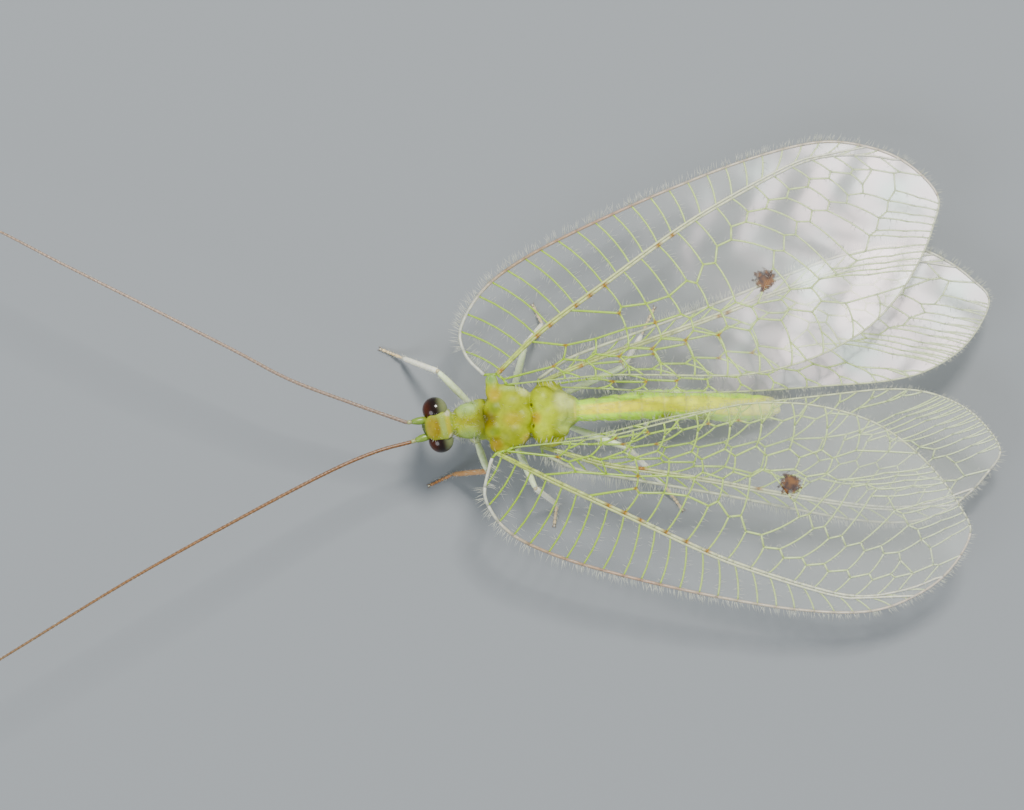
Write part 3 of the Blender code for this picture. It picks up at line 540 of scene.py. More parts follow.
# Clear cornea over dark pigment: glossy, with small lights that the lenses break up a little
cornea, cornea_shader = new_material("faceted cornea", {
    "Roughness": 0.18, "Specular IOR Level": 0.30, "Coat Weight": 0.17, "Coat Roughness": 0.06,
    "Subsurface Weight": 0.08, "Subsurface Scale": 0.0001})
tint = add_node(cornea, "Attribute", attribute_name="eye_tint_and_highlight").outputs["Color"]
link(cornea, tint, cornea_shader, "Base Color")

for name, side in (("right", 1), ("left", -1)):
    ahead, out, z = EYE_MIDDLE
    eye = ball(head_point(ahead, side * out, z), EYE_RADII, HEAD_TURN.to_euler(), EYE_LENSES)
    eye.name = f"eye_{name}_globe"
    lens_middles = len(eye.data.vertices)
    bpy.ops.object.mode_set(mode="EDIT")
    bpy.ops.mesh.select_all(action="SELECT")
    bpy.ops.mesh.subdivide(number_cuts=1)
    bpy.ops.object.mode_set(mode="OBJECT")
    points = points_of(eye)
    centre = np.array(head_point(ahead, side * out, z))
    outward = (points - centre) / np.array(EYE_RADII) ** 2
    outward /= np.linalg.norm(outward, axis=1)[:, None]
    reach = np.linalg.norm((points - centre) / np.array(EYE_RADII), axis=1)
    rounded = centre + (points - centre) / reach[:, None]
    is_lens = np.arange(len(points)) < lens_middles
    rounded += outward * (np.where(is_lens, 0.0, -LENS_BULGE))[:, None]
    eye.data.vertices.foreach_set("co", rounded.astype(np.float32).ravel())
    local = (rounded - centre) @ np.array(HEAD_TURN)
    back = local[:, 0] / EYE_RADII[0]
    outer = side * local[:, 1] / EYE_RADII[1]
    colours = np.tile(np.array(linear(EYE_FRONT)), (len(points), 1))
    for colour, cover, sets_in in EYE_BANDS:
        colours = mixed(colours, colour, cover * soft_step(back, *sets_in))
    colour, cover, (behind, beside), sets_in = EYE_RIM
    colours = mixed(colours, colour, cover * soft_step(behind * back + beside * outer, *sets_in))
    paint(eye, "eye_tint_and_highlight", colours)
    eye.data.materials.append(cornea)
    finish_piece(eye, "compound_eye", f"eye_{name}")

# Jaw and lip palps
# Short jointed feelers that hang from the mouth, of the same cuticle, straw-coloured: one pair of
# five joints at the jaws, and a shorter pair at the lower lip.
PALPS = (
    ((0.26, 0.14, 1.50), (0.34, 0.24, 1.36), (0.40, 0.28, 1.19), (0.44, 0.25, 1.02),
     (0.44, 0.18, 0.88)),
    ((0.18, 0.08, 1.36), (0.22, 0.13, 1.24), (0.26, 0.14, 1.12), (0.28, 0.11, 1.00)),
)
PALP_THICK = 0.085
PALP_TAPER = 0.10
PALP_PROFILE = ((0.0, 0.30), (0.12, 0.42), (0.70, 0.50), (0.94, 0.42), (1.0, 0.28))
PALP_COLOUR = "B5A66C"
LIMB_SIDES = 12
LIMB_MOTTLES_PER_MM = 9
LIMB_GRAINS_PER_MM = 30


def limb(start, end, profile, sides=LIMB_SIDES):
    """A straight joint between two places. Its profile gives half its thickness along it."""
    start, end = Vector(start), Vector(end)
    length = (end - start).length
    piece = loft([(share * length, 0, half, -half, half) for share, half in profile], sides)
    turn = (end - start).to_track_quat("X", "Z").to_matrix().to_4x4()
    piece.data.transform(Matrix.Translation(start) @ turn)
    return piece


def tinted(piece, colour):
    """The piece with one limb colour all over."""
    paint(piece, "limb_tint", np.tile(np.array(linear(colour)), (len(piece.data.vertices), 1)))
    return piece


palp_joints = []
for palp in PALPS:
    for side in (1, -1):
        spots = [head_point(ahead, side * out, z) for ahead, out, z in palp]
        for i, (a, b) in enumerate(zip(spots, spots[1:])):
            thick = PALP_THICK * (1 - PALP_TAPER * i)
            palp_joints.append(limb(a, b, [(share, half * thick) for share, half in PALP_PROFILE]))
palps = join("mouth_palps", palp_joints)

# Limb cuticle, hard and thin over pale flesh: satin, slightly translucent and finely mottled, with
# the grain of microtrichia some 5 micrometres apart, drawn here at 33 to show at all.
limb_cuticle, limb_shader = new_material("pale limb cuticle", {
    "Roughness": 0.36, "Specular IOR Level": 0.5, "Subsurface Weight": 0.35,
    "Subsurface Radius": (1.0, 0.85, 0.4), "Subsurface Scale": 0.0002, "Coat Weight": 0.15,
    "Coat Roughness": 0.2})
where = add_node(limb_cuticle, "TexCoord").outputs["Object"]
limb_tint = add_node(limb_cuticle, "Attribute", attribute_name="limb_tint").outputs["Color"]
limb_colour = mottled(limb_cuticle, where, limb_tint, LIMB_MOTTLES_PER_MM, 3.0, 0.86, 1.10)
link(limb_cuticle, limb_colour, limb_shader, "Base Color")
limb_grain = add_node(limb_cuticle, "TexNoise", {
    "Vector": where, "Scale": LIMB_GRAINS_PER_MM / MM}).outputs["Fac"]
limb_bump = add_node(limb_cuticle, "Bump", {"Height": limb_grain, "Distance": 0.00001,
                                            "Strength": 0.5})
link(limb_cuticle, limb_bump.outputs["Normal"], limb_shader, "Normal")
tinted(palps, PALP_COLOUR)
palps.data.materials.append(limb_cuticle)
finish_piece(palps, "pale_limb")

# Feelers
# Each is a thick green scape and a small ring joint in the brow, then a thread of about 120 short
# joints, beige to orange-brown, each a little wider at its outer end.
SCAPE = ((0.42, 0.28, 2.60), (0.86, 0.32, 2.66))
RING_JOINT = (1.01, 0.335, 2.70)
SCAPE_PROFILE = ((0.0, 0.11), (0.15, 0.135), (0.55, 0.125), (0.92, 0.085), (1.0, 0.06))
RING_PROFILE = ((0.0, 0.05), (0.3, 0.072), (0.8, 0.072), (1.0, 0.05))
RING_SINK = 0.06
STUMP_SIDES = 20
SCAPE_COLOUR, RING_COLOUR = "718B2E", "919660"
FEELER_THICK = 0.13
FEELER_TIP_THICK = 0.075
FEELER_JOINTS = 118
# Along one of these joints: how far, how full it is, and how dark
JOINT_PROFILE = ((0.0, 0.90, 1.0), (0.25, 0.96, 1.0), (0.80, 1.04, 0.62))
THREAD_SIDES = 8
FEELER_RIGHT = ((-5.17, 0.64, 3.05), (-7.23, 1.55, 3.45), (-9.01, 2.61, 3.75),
                (-11.60, 4.11, 4.05), (-14.58, 5.80, 4.10), (-16.66, 7.01, 4.00),
                (-19.70, 8.62, 3.70))
FEELER_LEFT = ((-4.46, -0.97, 2.90), (-5.85, -1.46, 3.20), (-8.00, -2.42, 3.55),
               (-11.19, -3.95, 3.90), (-13.62, -5.19, 4.00), (-17.30, -7.20, 3.90),
               (-19.80, -8.50, 3.65))
FEELER_COLOURS = {"right": ("8B7666", "9F8773", "8B725C"), "left": ("7A522B", "845E36", "826848")}


def smooth(points, share, beyond=None):
    """The point at a share of the way along a smooth curve through the given points.

    The curve may head for one more point beyond its end.
    """
    points = [Vector(p) for p in points]
    lengths = [(b - a).length for a, b in zip(points, points[1:])]
    left = min(max(share, 0.0), 1.0) * sum(lengths)
    i = 0
    while i < len(lengths) - 1 and left > lengths[i]:
        left -= lengths[i]
        i += 1
    t = left / lengths[i]
    a, b = points[i], points[i + 1]
    before = points[i - 1] if i > 0 else a + (a - b)
    ending = Vector(beyond) if beyond else b + (b - a)
    after = points[i + 2] if i + 2 < len(points) else ending
    return 0.5 * (2 * a + (b - before) * t + (2 * before - 5 * a + 4 * b - after) * t * t
                  + (3 * a - before - 3 * b + after) * t ** 3)


def mesh_piece(name, points, faces):
    """An object of these points and faces."""
    mesh = bpy.data.meshes.new(name)
    mesh.from_pydata(points, [], faces)
    made = bpy.data.objects.new(name, mesh)
    bpy.context.scene.collection.objects.link(made)
    return made


class Threads:
    """Many thin round bars in one mesh, with a colour and a wing place for each point."""

    def __init__(self):
        self.points, self.faces, self.colours, self.places = [], [], [], []

    def add(self, path, radii, colours, sides, places=None):
        """One closed bar along a path."""
        path = [Vector(p) for p in path]
        first = len(self.points)
        side = (path[1] - path[0]).orthogonal().normalized()
        for i, point in enumerate(path):
            ahead = (path[min(i + 1, len(path) - 1)] - path[max(i - 1, 0)]).normalized()
            side = (side - ahead * side.dot(ahead)).normalized()
            up = ahead.cross(side)
            for k in range(sides):
                turn = 2 * math.pi * k / sides
                self.points.append(point + radii[i] * (side * math.cos(turn) + up * math.sin(turn)))
                self.colours.append(colours[i])
                self.places.append(places[i] if places else (0.0, 0.0))
        for i in range(len(path) - 1):
            row = first + i * sides
            for k in range(sides):
                j = (k + 1) % sides
                self.faces.append((row + k, row + j, row + sides + j, row + sides + k))
        self.faces.append(tuple(range(first + sides - 1, first - 1, -1)))
        last = first + (len(path) - 1) * sides
        self.faces.append(tuple(range(last, last + sides)))

    def piece(self, name, tint):
        """The gathered bars as one object."""
        made = mesh_piece(name, self.points, self.faces)
        paint(made, tint, np.array(self.colours))
        return made


def between(first, second, share):
    """A linear colour between two hex colours."""
    return tuple(np.array(linear(first)) * (1 - share) + np.array(linear(second)) * share)


def feeler_half(share):
    """Half the thickness of the feeler's thread at a share of its length."""
    return (FEELER_THICK + (FEELER_TIP_THICK - FEELER_THICK) * share) / 2


feeler_routes = {}
for name, side, route in (("right", 1, FEELER_RIGHT), ("left", -1, FEELER_LEFT)):
    scape_start, scape_end = (head_point(a, side * out, z) for a, out, z in SCAPE)
    ring_end = head_point(RING_JOINT[0], side * RING_JOINT[1], RING_JOINT[2])
    scape = tinted(limb(scape_start, scape_end, SCAPE_PROFILE, STUMP_SIDES), SCAPE_COLOUR)
    ring_start = scape_end - (scape_end - scape_start) * RING_SINK
    ring = tinted(limb(ring_start, ring_end, RING_PROFILE, STUMP_SIDES), RING_COLOUR)
    curve = [ring_end, *map(Vector, route)]
    feeler_routes[name] = curve
    threads = Threads()
    path, radii, colours = [], [], []
    base, middle, tip = FEELER_COLOURS[name]
    for joint in range(FEELER_JOINTS):
        for share, fullness, dark in JOINT_PROFILE:
            t = (joint + share) / FEELER_JOINTS
            path.append(smooth(curve, t))
            radii.append(feeler_half(t) * fullness)
            ground = between(base, middle, 2 * t) if t < 0.5 else between(middle, tip, 2 * t - 1)
            colours.append(tuple(np.array(ground) * (dark, dark, dark, 1)))
    threads.add(path, radii, colours, THREAD_SIDES)
    thread = threads.piece("thread", "limb_tint")
    feeler = join(f"feeler_{name}", [thread, scape, ring])
    feeler.data.materials.clear()
    feeler.data.materials.append(limb_cuticle)
    finish_piece(feeler, "feeler_cuticle", f"antenna_{name}")

# Legs
# Coxa, ring joint, thigh, shin and five foot joints with two claws, each a hard tube that meets the
# next in a soft joint. They follow the routes of the solids, the left hind thigh within 0.35 mm.
LEGS = {
    "front_right": ((-1.30, 0.22, 1.60), (-1.30, 0.42, 1.22), (-2.35, 1.59, 1.72),
                    (-3.52, 2.10, 0.42), (-4.20, 2.42, 0.20)),
    "front_left": ((-1.28, -0.54, 1.58), (-1.16, -0.82, 1.22), (-0.86, -1.84, 1.80),
                   (-2.03, -1.90, 0.45), (-2.80, -2.22, 0.20)),
    "mid_right": ((0.05, 0.42, 1.34), (0.12, 0.72, 1.02), (0.62, 2.30, 1.85),
                  (1.24, 3.00, 0.48), (0.98, 3.60, 0.20)),
    "mid_left": ((0.05, -0.66, 1.34), (0.12, -0.96, 1.02), (0.72, -2.50, 1.85),
                 (1.42, -3.10, 0.48), (1.30, -3.75, 0.20)),
    "hind_right": ((1.62, 0.34, 1.28), (1.80, 0.60, 1.02), (3.88, 1.43, 1.40),
                   (4.56, 2.45, 0.50), (5.02, 3.30, 0.20)),
    "hind_left": ((1.62, -0.38, 1.30), (1.84, -0.44, 1.02), (3.90, -1.33, 1.40),
                  (5.09, -2.66, 0.50), (5.62, -3.46, 0.20)),
}
# Profiles: share along the joint, half thickness
COXA_PROFILE = ((0.0, 0.14), (0.25, 0.20), (0.60, 0.19), (0.90, 0.13), (1.0, 0.10))
THIGH_PROFILE = ((0.0, 0.070), (0.08, 0.095), (0.40, 0.125), (0.75, 0.110), (0.95, 0.085),
                 (1.0, 0.06))
SHIN_PROFILE = ((0.0, 0.058), (0.05, 0.098), (0.14, 0.094), (0.55, 0.090), (0.90, 0.084),
                (1.0, 0.054))
FOOT_PROFILE = ((0.0, 0.55), (0.30, 0.80), (0.80, 1.05), (0.95, 0.95), (1.0, 0.60))
FOOT_SHARES = (0.0, 0.36, 0.54, 0.68, 0.80, 1.0)
FOOT_HALF = 0.052
FOOT_LEVEL = 0.052
FOOT_BEND_RISE = 0.03
FOOT_ARCH = 0.6
FOOT_ARCH_RISE = 0.02
ANKLE_DROP = 0.16
COXA_RISE = 0.34
LEG_SIDES = 20
SHIN_SIDES = 16
RING_BALL = (0.115, 0.115, 0.115)
KNEE_BALL = (0.072, 0.072, 0.072)
SOLE_BALL = (0.05, 0.05, 0.024)
# Each claw's route from the end of the foot: onward, sideways and up
CLAW = ((-0.02, 0.0, 0.0), (0.075, 0.036, 0.012), (0.135, 0.06, -0.020), (0.15, 0.06, -0.045))
CLAW_HALF = 0.018
CLAW_TAPER = 0.8
CLAW_STEPS = 6
COXA_COLOUR, RING_JOINT_COLOUR, THIGH_COLOUR, KNEE_COLOUR = "B6C278", "B6C283", "E6F8C4", "C7B98A"
SHIN_COLOUR, FOOT_COLOUR, SOLE_COLOUR, CLAW_COLOUR = "FCFAE0", "D8BE90", "D9CFA8", "6E4A24"
# The left front leg is tanned from the knee down
TANNED = {"front_left": ("B98A54", "A87440")}


leg_joints = {}
for name, corners in LEGS.items():
    top, coxa_end, knee, ankle, toe = (Vector(c) for c in corners)
    top = top + Vector((0, 0, COXA_RISE))
    ankle = ankle - Vector((0, 0, ANKLE_DROP))
    toe.z = FOOT_LEVEL
    shin_colour, foot_colour = TANNED.get(name, (SHIN_COLOUR, FOOT_COLOUR))
    joints = [tinted(limb(top, coxa_end, COXA_PROFILE, LEG_SIDES), COXA_COLOUR),
              tinted(ball(coxa_end, RING_BALL, fineness=3), RING_JOINT_COLOUR),
              tinted(limb(coxa_end, knee, THIGH_PROFILE, LEG_SIDES), THIGH_COLOUR),
              tinted(ball(knee, KNEE_BALL, fineness=3), KNEE_COLOUR),
              tinted(limb(knee, ankle, SHIN_PROFILE, SHIN_SIDES), shin_colour)]
    # The foot runs down to the floor and then along it
    down = ankle.lerp(toe, FOOT_SHARES[2])
    down.z = FOOT_LEVEL + FOOT_BEND_RISE
    arch = ankle.lerp(down, FOOT_ARCH) + Vector((0, 0, FOOT_ARCH_RISE))
    foot_route = [ankle, arch, down, toe]
    spots = [smooth(foot_route, share) for share in FOOT_SHARES]
    profile = [(share, half * FOOT_HALF) for share, half in FOOT_PROFILE]
    joints += [tinted(limb(a, b, profile), foot_colour) for a, b in zip(spots, spots[1:])]
    onward = (spots[-1] - spots[-2]).normalized()
    sideways = Vector((0, 0, 1)).cross(onward).normalized()
    claws = Threads()
    for side in (1, -1):
        hook = [spots[-1] + onward * ahead + sideways * side * out + Vector((0, 0, up))
                for ahead, out, up in CLAW]
        shares = [i / CLAW_STEPS for i in range(CLAW_STEPS + 1)]
        claws.add([smooth(hook, s) for s in shares],
                  [CLAW_HALF * (1 - CLAW_TAPER * s) for s in shares],
                  [linear(CLAW_COLOUR)] * len(shares), THREAD_SIDES)
    joints.append(claws.piece("claws", "limb_tint"))
    sole = ball(spots[-1] + onward * SOLE_BALL[0], SOLE_BALL, fineness=3)
    joints.append(tinted(sole, SOLE_COLOUR))
    leg_joints[name] = (top, coxa_end, knee, ankle, *spots[1:])
    leg = join(f"{name}_leg", joints)
    leg.data.materials.clear()
    leg.data.materials.append(limb_cuticle)
    finish_piece(leg, "pale_limb", f"leg_{name}")

# Wings
# Clear membranes a few micrometres thick on a net of hollow veins, which branch from thick ones at
# the front edge. They spread from knobs on the second and third ring and slope down like a roof.
FOREWING_LENGTH = 16.0
HINDWING_LENGTH = 15.1
# Plan, side, root, spread from the body axis, height of the root, and how far the front field is
# moved outwards at the root, as a fraction of the length, since the two forewings tilt differently
WINGS = {
    "forewing_right": ("fore", 1, (-0.42, 1.15), math.radians(19.8), 3.28, 0.017),
    "forewing_left": ("fore", -1, (-0.50, -1.36), math.radians(12.2), 3.28, -0.020),
    "hindwing_right": ("hind", 1, (1.28, 1.08), math.radians(7.5), 2.38, 0.0),
    "hindwing_left": ("hind", -1, (1.28, -1.28), math.radians(3.0), 2.38, 0.0),
}
FRONT_FIELD = 0.05
FIELD_FADE = 1.5
ROOT_STRETCH = 23.5
# Where the margins and the first long veins start at the body
HINGES = {
    "forewing_right": {"costa": (-0.80, 1.38), "radius": (-0.36, 1.37), "cubitus": (-0.16, 1.20),
                       "hind_margin": (-0.06, 1.02)},
    "forewing_left": {"costa": (-0.67, -1.40), "radius": (-0.50, -1.22), "cubitus": (-0.20, -1.18),
                      "hind_margin": (0.06, -1.08)},
    "hindwing_right": {"costa": (1.02, 1.16), "radius": (0.98, 0.98), "media": (1.16, 0.92),
                       "hind_margin": (1.44, 0.86)},
    "hindwing_left": {"costa": (1.02, -1.34), "radius": (0.98, -1.08), "media": (1.16, -1.02),
                      "hind_margin": (1.44, -0.94)},
}
ROOF_SLOPE = 0.27
TIP_DROOP = 1.0
ZIGZAG = 0.13
FARTHEST_PULL = 0.009
CURVE_STEP = 0.016
NEAREST_STEPS = 400
CLOSEST_TIES = 0.008
STRAIGHT = ("costa", "hind_margin", "radius")
# Long veins and margins as fractions of the wing's length: along the wing, towards the front edge
FORE_CURVES = {
    "costa": ((-0.026, 0.056), (-0.018, 0.112), (0.048, 0.169), (0.150, 0.199), (0.300, 0.215),
              (0.500, 0.223), (0.680, 0.219), (0.820, 0.197), (0.910, 0.148), (0.970, 0.085),
              (1.000, 0.000)),
    "hind_margin": ((0.200, -0.072), (0.300, -0.112), (0.410, -0.160),
                    (0.500, -0.193), (0.620, -0.210), (0.740, -0.200), (0.830, -0.165),
                    (0.910, -0.110), (0.965, -0.055), (1.000, 0.000)),
    "radius": ((0.130, 0.045), (0.300, 0.090), (0.500, 0.140), (0.700, 0.168),
               (0.800, 0.168), (0.890, 0.138), (0.958, 0.098)),
    "sector": ((0.200, 0.064), (0.290, 0.030), (0.410, 0.020), (0.500, 0.045), (0.600, 0.105),
               (0.705, 0.122), (0.800, 0.128), (0.880, 0.105), (0.985, 0.052)),
    "media": ((0.100, 0.034), (0.180, 0.010), (0.280, 0.000), (0.400, -0.027), (0.490, -0.042),
              (0.570, -0.063), (0.660, -0.070), (0.775, -0.055), (0.845, -0.005), (0.885, 0.025),
              (0.935, 0.076)),
    "gradates": ((0.565, -0.060), (0.600, -0.015), (0.645, 0.018), (0.697, 0.048), (0.767, 0.066),
                 (0.845, 0.066), (0.900, 0.096)),
    "cubitus": ((0.140, -0.016), (0.270, -0.048), (0.420, -0.067), (0.510, -0.092),
                (0.600, -0.100), (0.720, -0.120), (0.860, -0.146)),
}
HIND_CURVES = {
    "costa": ((0.060, 0.040), (0.180, 0.062), (0.388, 0.098), (0.560, 0.132), (0.680, 0.153),
              (0.790, 0.158), (0.870, 0.137), (0.930, 0.095), (0.972, 0.048), (1.000, 0.000)),
    "hind_margin": ((0.120, -0.040), (0.260, -0.074), (0.420, -0.102),
                    (0.600, -0.123), (0.740, -0.137), (0.830, -0.131), (0.910, -0.101),
                    (0.965, -0.056), (1.000, 0.000)),
    "radius": ((0.120, 0.026), (0.230, 0.042), (0.374, 0.066), (0.512, 0.092),
               (0.717, 0.122), (0.830, 0.118), (0.944, 0.082)),
    "sector": ((0.090, 0.021), (0.200, 0.016), (0.350, 0.034), (0.500, 0.052), (0.650, 0.074),
               (0.800, 0.082), (0.978, 0.040)),
    "media": ((0.160, -0.012), (0.320, -0.014), (0.480, -0.018), (0.620, -0.030),
              (0.740, -0.026), (0.840, 0.004), (0.920, 0.058)),
    "gradates": ((0.520, -0.020), (0.580, 0.010), (0.660, 0.026), (0.760, 0.038), (0.880, 0.068)),
    "cubitus": ((0.080, -0.010), (0.180, -0.034), (0.320, -0.054), (0.480, -0.070), (0.640, -0.082),
                (0.790, -0.124)),
}
# Ties between two long veins: how many, where they start and end along each, and how far each bows
FORE_TIES = (
    ("radius", "costa", 26, (0.012, 0.900), (0.052, 0.875), -0.05),
    ("radius", "sector", 13, (0.300, 0.855), (0.135, 0.840), 0.04),
    ("radius", "sector", 2, (0.905, 0.955), (0.890, 0.955), 0.0),
    ("sector", "media", 5, (0.120, 0.40), (0.225, 0.485), 0.05),
    ("sector", "gradates", 7, (0.460, 0.82), (0.300, 0.90), 0.04),
    ("gradates", "media", 7, (0.220, 0.86), (0.620, 0.935), 0.03),
    ("media", "cubitus", 9, (0.080, 0.66), (0.150, 0.80), 0.05),
    ("cubitus", "hind_margin", 11, (0.120, 0.93), (0.120, 0.745), 0.05),
    ("media", "hind_margin", 11, (0.680, 0.965), (0.848, 0.987), 0.03),
)
HIND_TIES = (
    ("radius", "costa", 20, (0.060, 0.905), (0.100, 0.880), -0.04),
    ("radius", "sector", 11, (0.160, 0.855), (0.120, 0.840), 0.04),
    ("radius", "sector", 1, (0.930, 0.930), (0.920, 0.92), 0.0),
    ("sector", "media", 5, (0.090, 0.42), (0.200, 0.51), 0.04),
    ("sector", "gradates", 6, (0.500, 0.80), (0.250, 0.84), 0.04),
    ("gradates", "media", 6, (0.200, 0.80), (0.640, 0.915), 0.03),
    ("media", "cubitus", 8, (0.090, 0.64), (0.110, 0.82), 0.05),
    ("cubitus", "hind_margin", 10, (0.110, 0.92), (0.115, 0.765), 0.05),
    ("media", "hind_margin", 10, (0.680, 0.955), (0.820, 0.982), 0.03),
)
# Ties to the hind margin split in two at this share of their length, and this far apart
FORK_AT = 0.52
FORK_SPREAD = 0.23
FORKED = ("hind_margin",)
# What each long vein starts from and ends on
FORE_ENDS = {"radius": ("hinge", "costa"), "sector": ("radius", "costa"),
             "media": ("radius", "sector"), "gradates": ("media", "sector"),
             "cubitus": ("hinge", "hind_margin")}
HIND_ENDS = {"radius": ("hinge", "costa"), "sector": ("radius", "costa"),
             "media": ("hinge", "sector"), "gradates": ("media", "sector"),
             "cubitus": ("media", "hind_margin")}
WING_PLANS = {
    "fore": (FOREWING_LENGTH, FORE_CURVES, FORE_TIES, FORE_ENDS),
    "hind": (HINDWING_LENGTH, HIND_CURVES, HIND_TIES, HIND_ENDS),
}
# Half thickness of each kind of vein at the wing's root and at its tip
VEIN_HALF = {"costa": (0.054, 0.038), "hind_margin": (0.026, 0.034), "radius": (0.054, 0.032),
             "sector": (0.042, 0.030), "media": (0.038, 0.028), "gradates": (0.032, 0.028),
             "cubitus": (0.038, 0.028), "hinge": (0.045, 0.045), "tie": (0.034, 0.026),
             "subcosta": (0.048, 0.032)}
VEIN_STEP = 0.12
THICK_VEINS = ("costa", "radius", "subcosta")
THICK_VEIN_RISE = 0.02
# The thin vein beside the radius: its gap, where it leaves the radius, and where it meets the edge
SUBCOSTA_GAP = 0.0058
SUBCOSTA_STEPS = 60
SUBCOSTA_LEAVES = 49
SUBCOSTA_TURN = 12
SUBCOSTA_END = 0.855
MEMBRANE_THICK = 0.010
# Its points: their spacing, their reach along and across the wing, and how far they keep from veins
MEMBRANE_GRID = 0.20
GRID_ALONG = (-0.04, 1.02)
GRID_ACROSS = (-0.24, 0.25)
GRID_ROWS = 0.866
GRID_CLEARANCE = 0.45
BEADS = 8
# Between the veins the membrane bulges, fully at this reach from them
CELL_BULGE = 0.004
BULGE_REACH = 0.34
# How much it varies from cell to cell, and how close these waves run along and across the wing
BULGE_MEAN = 0.7
BULGE_RANGE = 0.5
BULGE_ALONG = 61
BULGE_ACROSS = 47
BULGE_BEND = 2.0
SMOOTH_UP_TO = math.radians(50)
# Slow waves of the whole wing, height and how close they run along and across it
RIPPLE = 0.012
RIPPLE_ALONG = 44.0
RIPPLE_ACROSS = 27.0
RIPPLE_BEND = 2.2
VEIN_SIDES = 8
# Colours along the wing, from root to tip
VEIN_COLOURS = ((0.00, "8EB012"), (0.22, "99BB28"), (0.42, "ACC856"), (0.62, "BDD086"),
                (1.00, "C6D0AE"))
THICK_VEIN_COLOURS = ((0.00, "9EB237"), (0.15, "B0BC65"), (0.40, "C6CB9B"), (0.70, "D0D2B9"),
                      (1.00, "D0CEBE"))
EDGE_COLOURS = {
    "fore": ((0.00, "C0C2B0"), (0.10, "9F8769"), (0.35, "A88B74"), (0.55, "B9AE99"),
             (1.00, "C6BBAA")),
    "hind": ((0.00, "B3B994"), (0.35, "B7BB9B"), (1.00, "C0BFAE")),
}
# The hind margin turns to this by up to half, over the first part of the wing
MARGIN_COLOUR = "C8C4B0"
MARGIN_SHARE = 0.5
MARGIN_TURN = 0.3
# Where veins meet, near the body, some joints are brown and a little thicker
JUNCTION_COLOUR = "9B6D17"
JUNCTION_REACH = 0.11
JUNCTION_SHARE = 0.30
JUNCTION_END = 0.48
JUNCTION_SWELL = 0.25


def along_colours(table, share):
    """A linear colour from a table of shares and hex colours."""
    rows = [np.array(linear(colour)) for _, colour in table]
    return tuple(np.array([np.interp(share, [s for s, _ in table], [row[k] for row in rows])
                           for k in range(4)]))


def wing_axes(name):
    """The wing's directions in plan: along it, and towards its front edge."""
    _, side, _, spread, _, _ = WINGS[name]
    return (Vector((math.cos(spread), side * math.sin(spread))),
            Vector((-math.sin(spread), side * math.cos(spread))))


def moved(point, shift):
    """A place on the wing, moved outwards where it lies in the front field, most at the root."""
    x, y = point
    if x < 0:
        x *= 1 + ROOT_STRETCH * shift
    in_field = min(max(y / FRONT_FIELD, 0), 1)
    return (x, y + shift * in_field * (1 - min(max(x, 0), 1)) ** FIELD_FADE)


def wing_curves(name):
    """The wing's margins and long veins, brought in to their places at the body."""
    plan, _, root, _, _, shift = WINGS[name]
    length, curves = WING_PLANS[plan][:2]
    curves = {vein: [moved(p, shift) for p in curve] for vein, curve in curves.items()}
    for vein, place in HINGES[name].items():
        away = Vector(place) - Vector(root)
        start = tuple(away.dot(axis) / length for axis in wing_axes(name))
        curves[vein] = [start, *curves[vein]]
    return curves


def nearest_share(curve, place):
    """How far along the curve it comes nearest to the place."""
    shares = [k / NEAREST_STEPS for k in range(NEAREST_STEPS + 1)]
    return min(shares, key=lambda share: (smooth(curve, share) - place).length)


def bowed(a, b, bow):
    """A slightly curved tie between two places."""
    across = Vector((a.y - b.y, b.x - a.x)) * bow
    return [a.lerp(b, t) + across * 4 * t * (1 - t) for t in (0, 0.25, 0.5, 0.75, 1)]


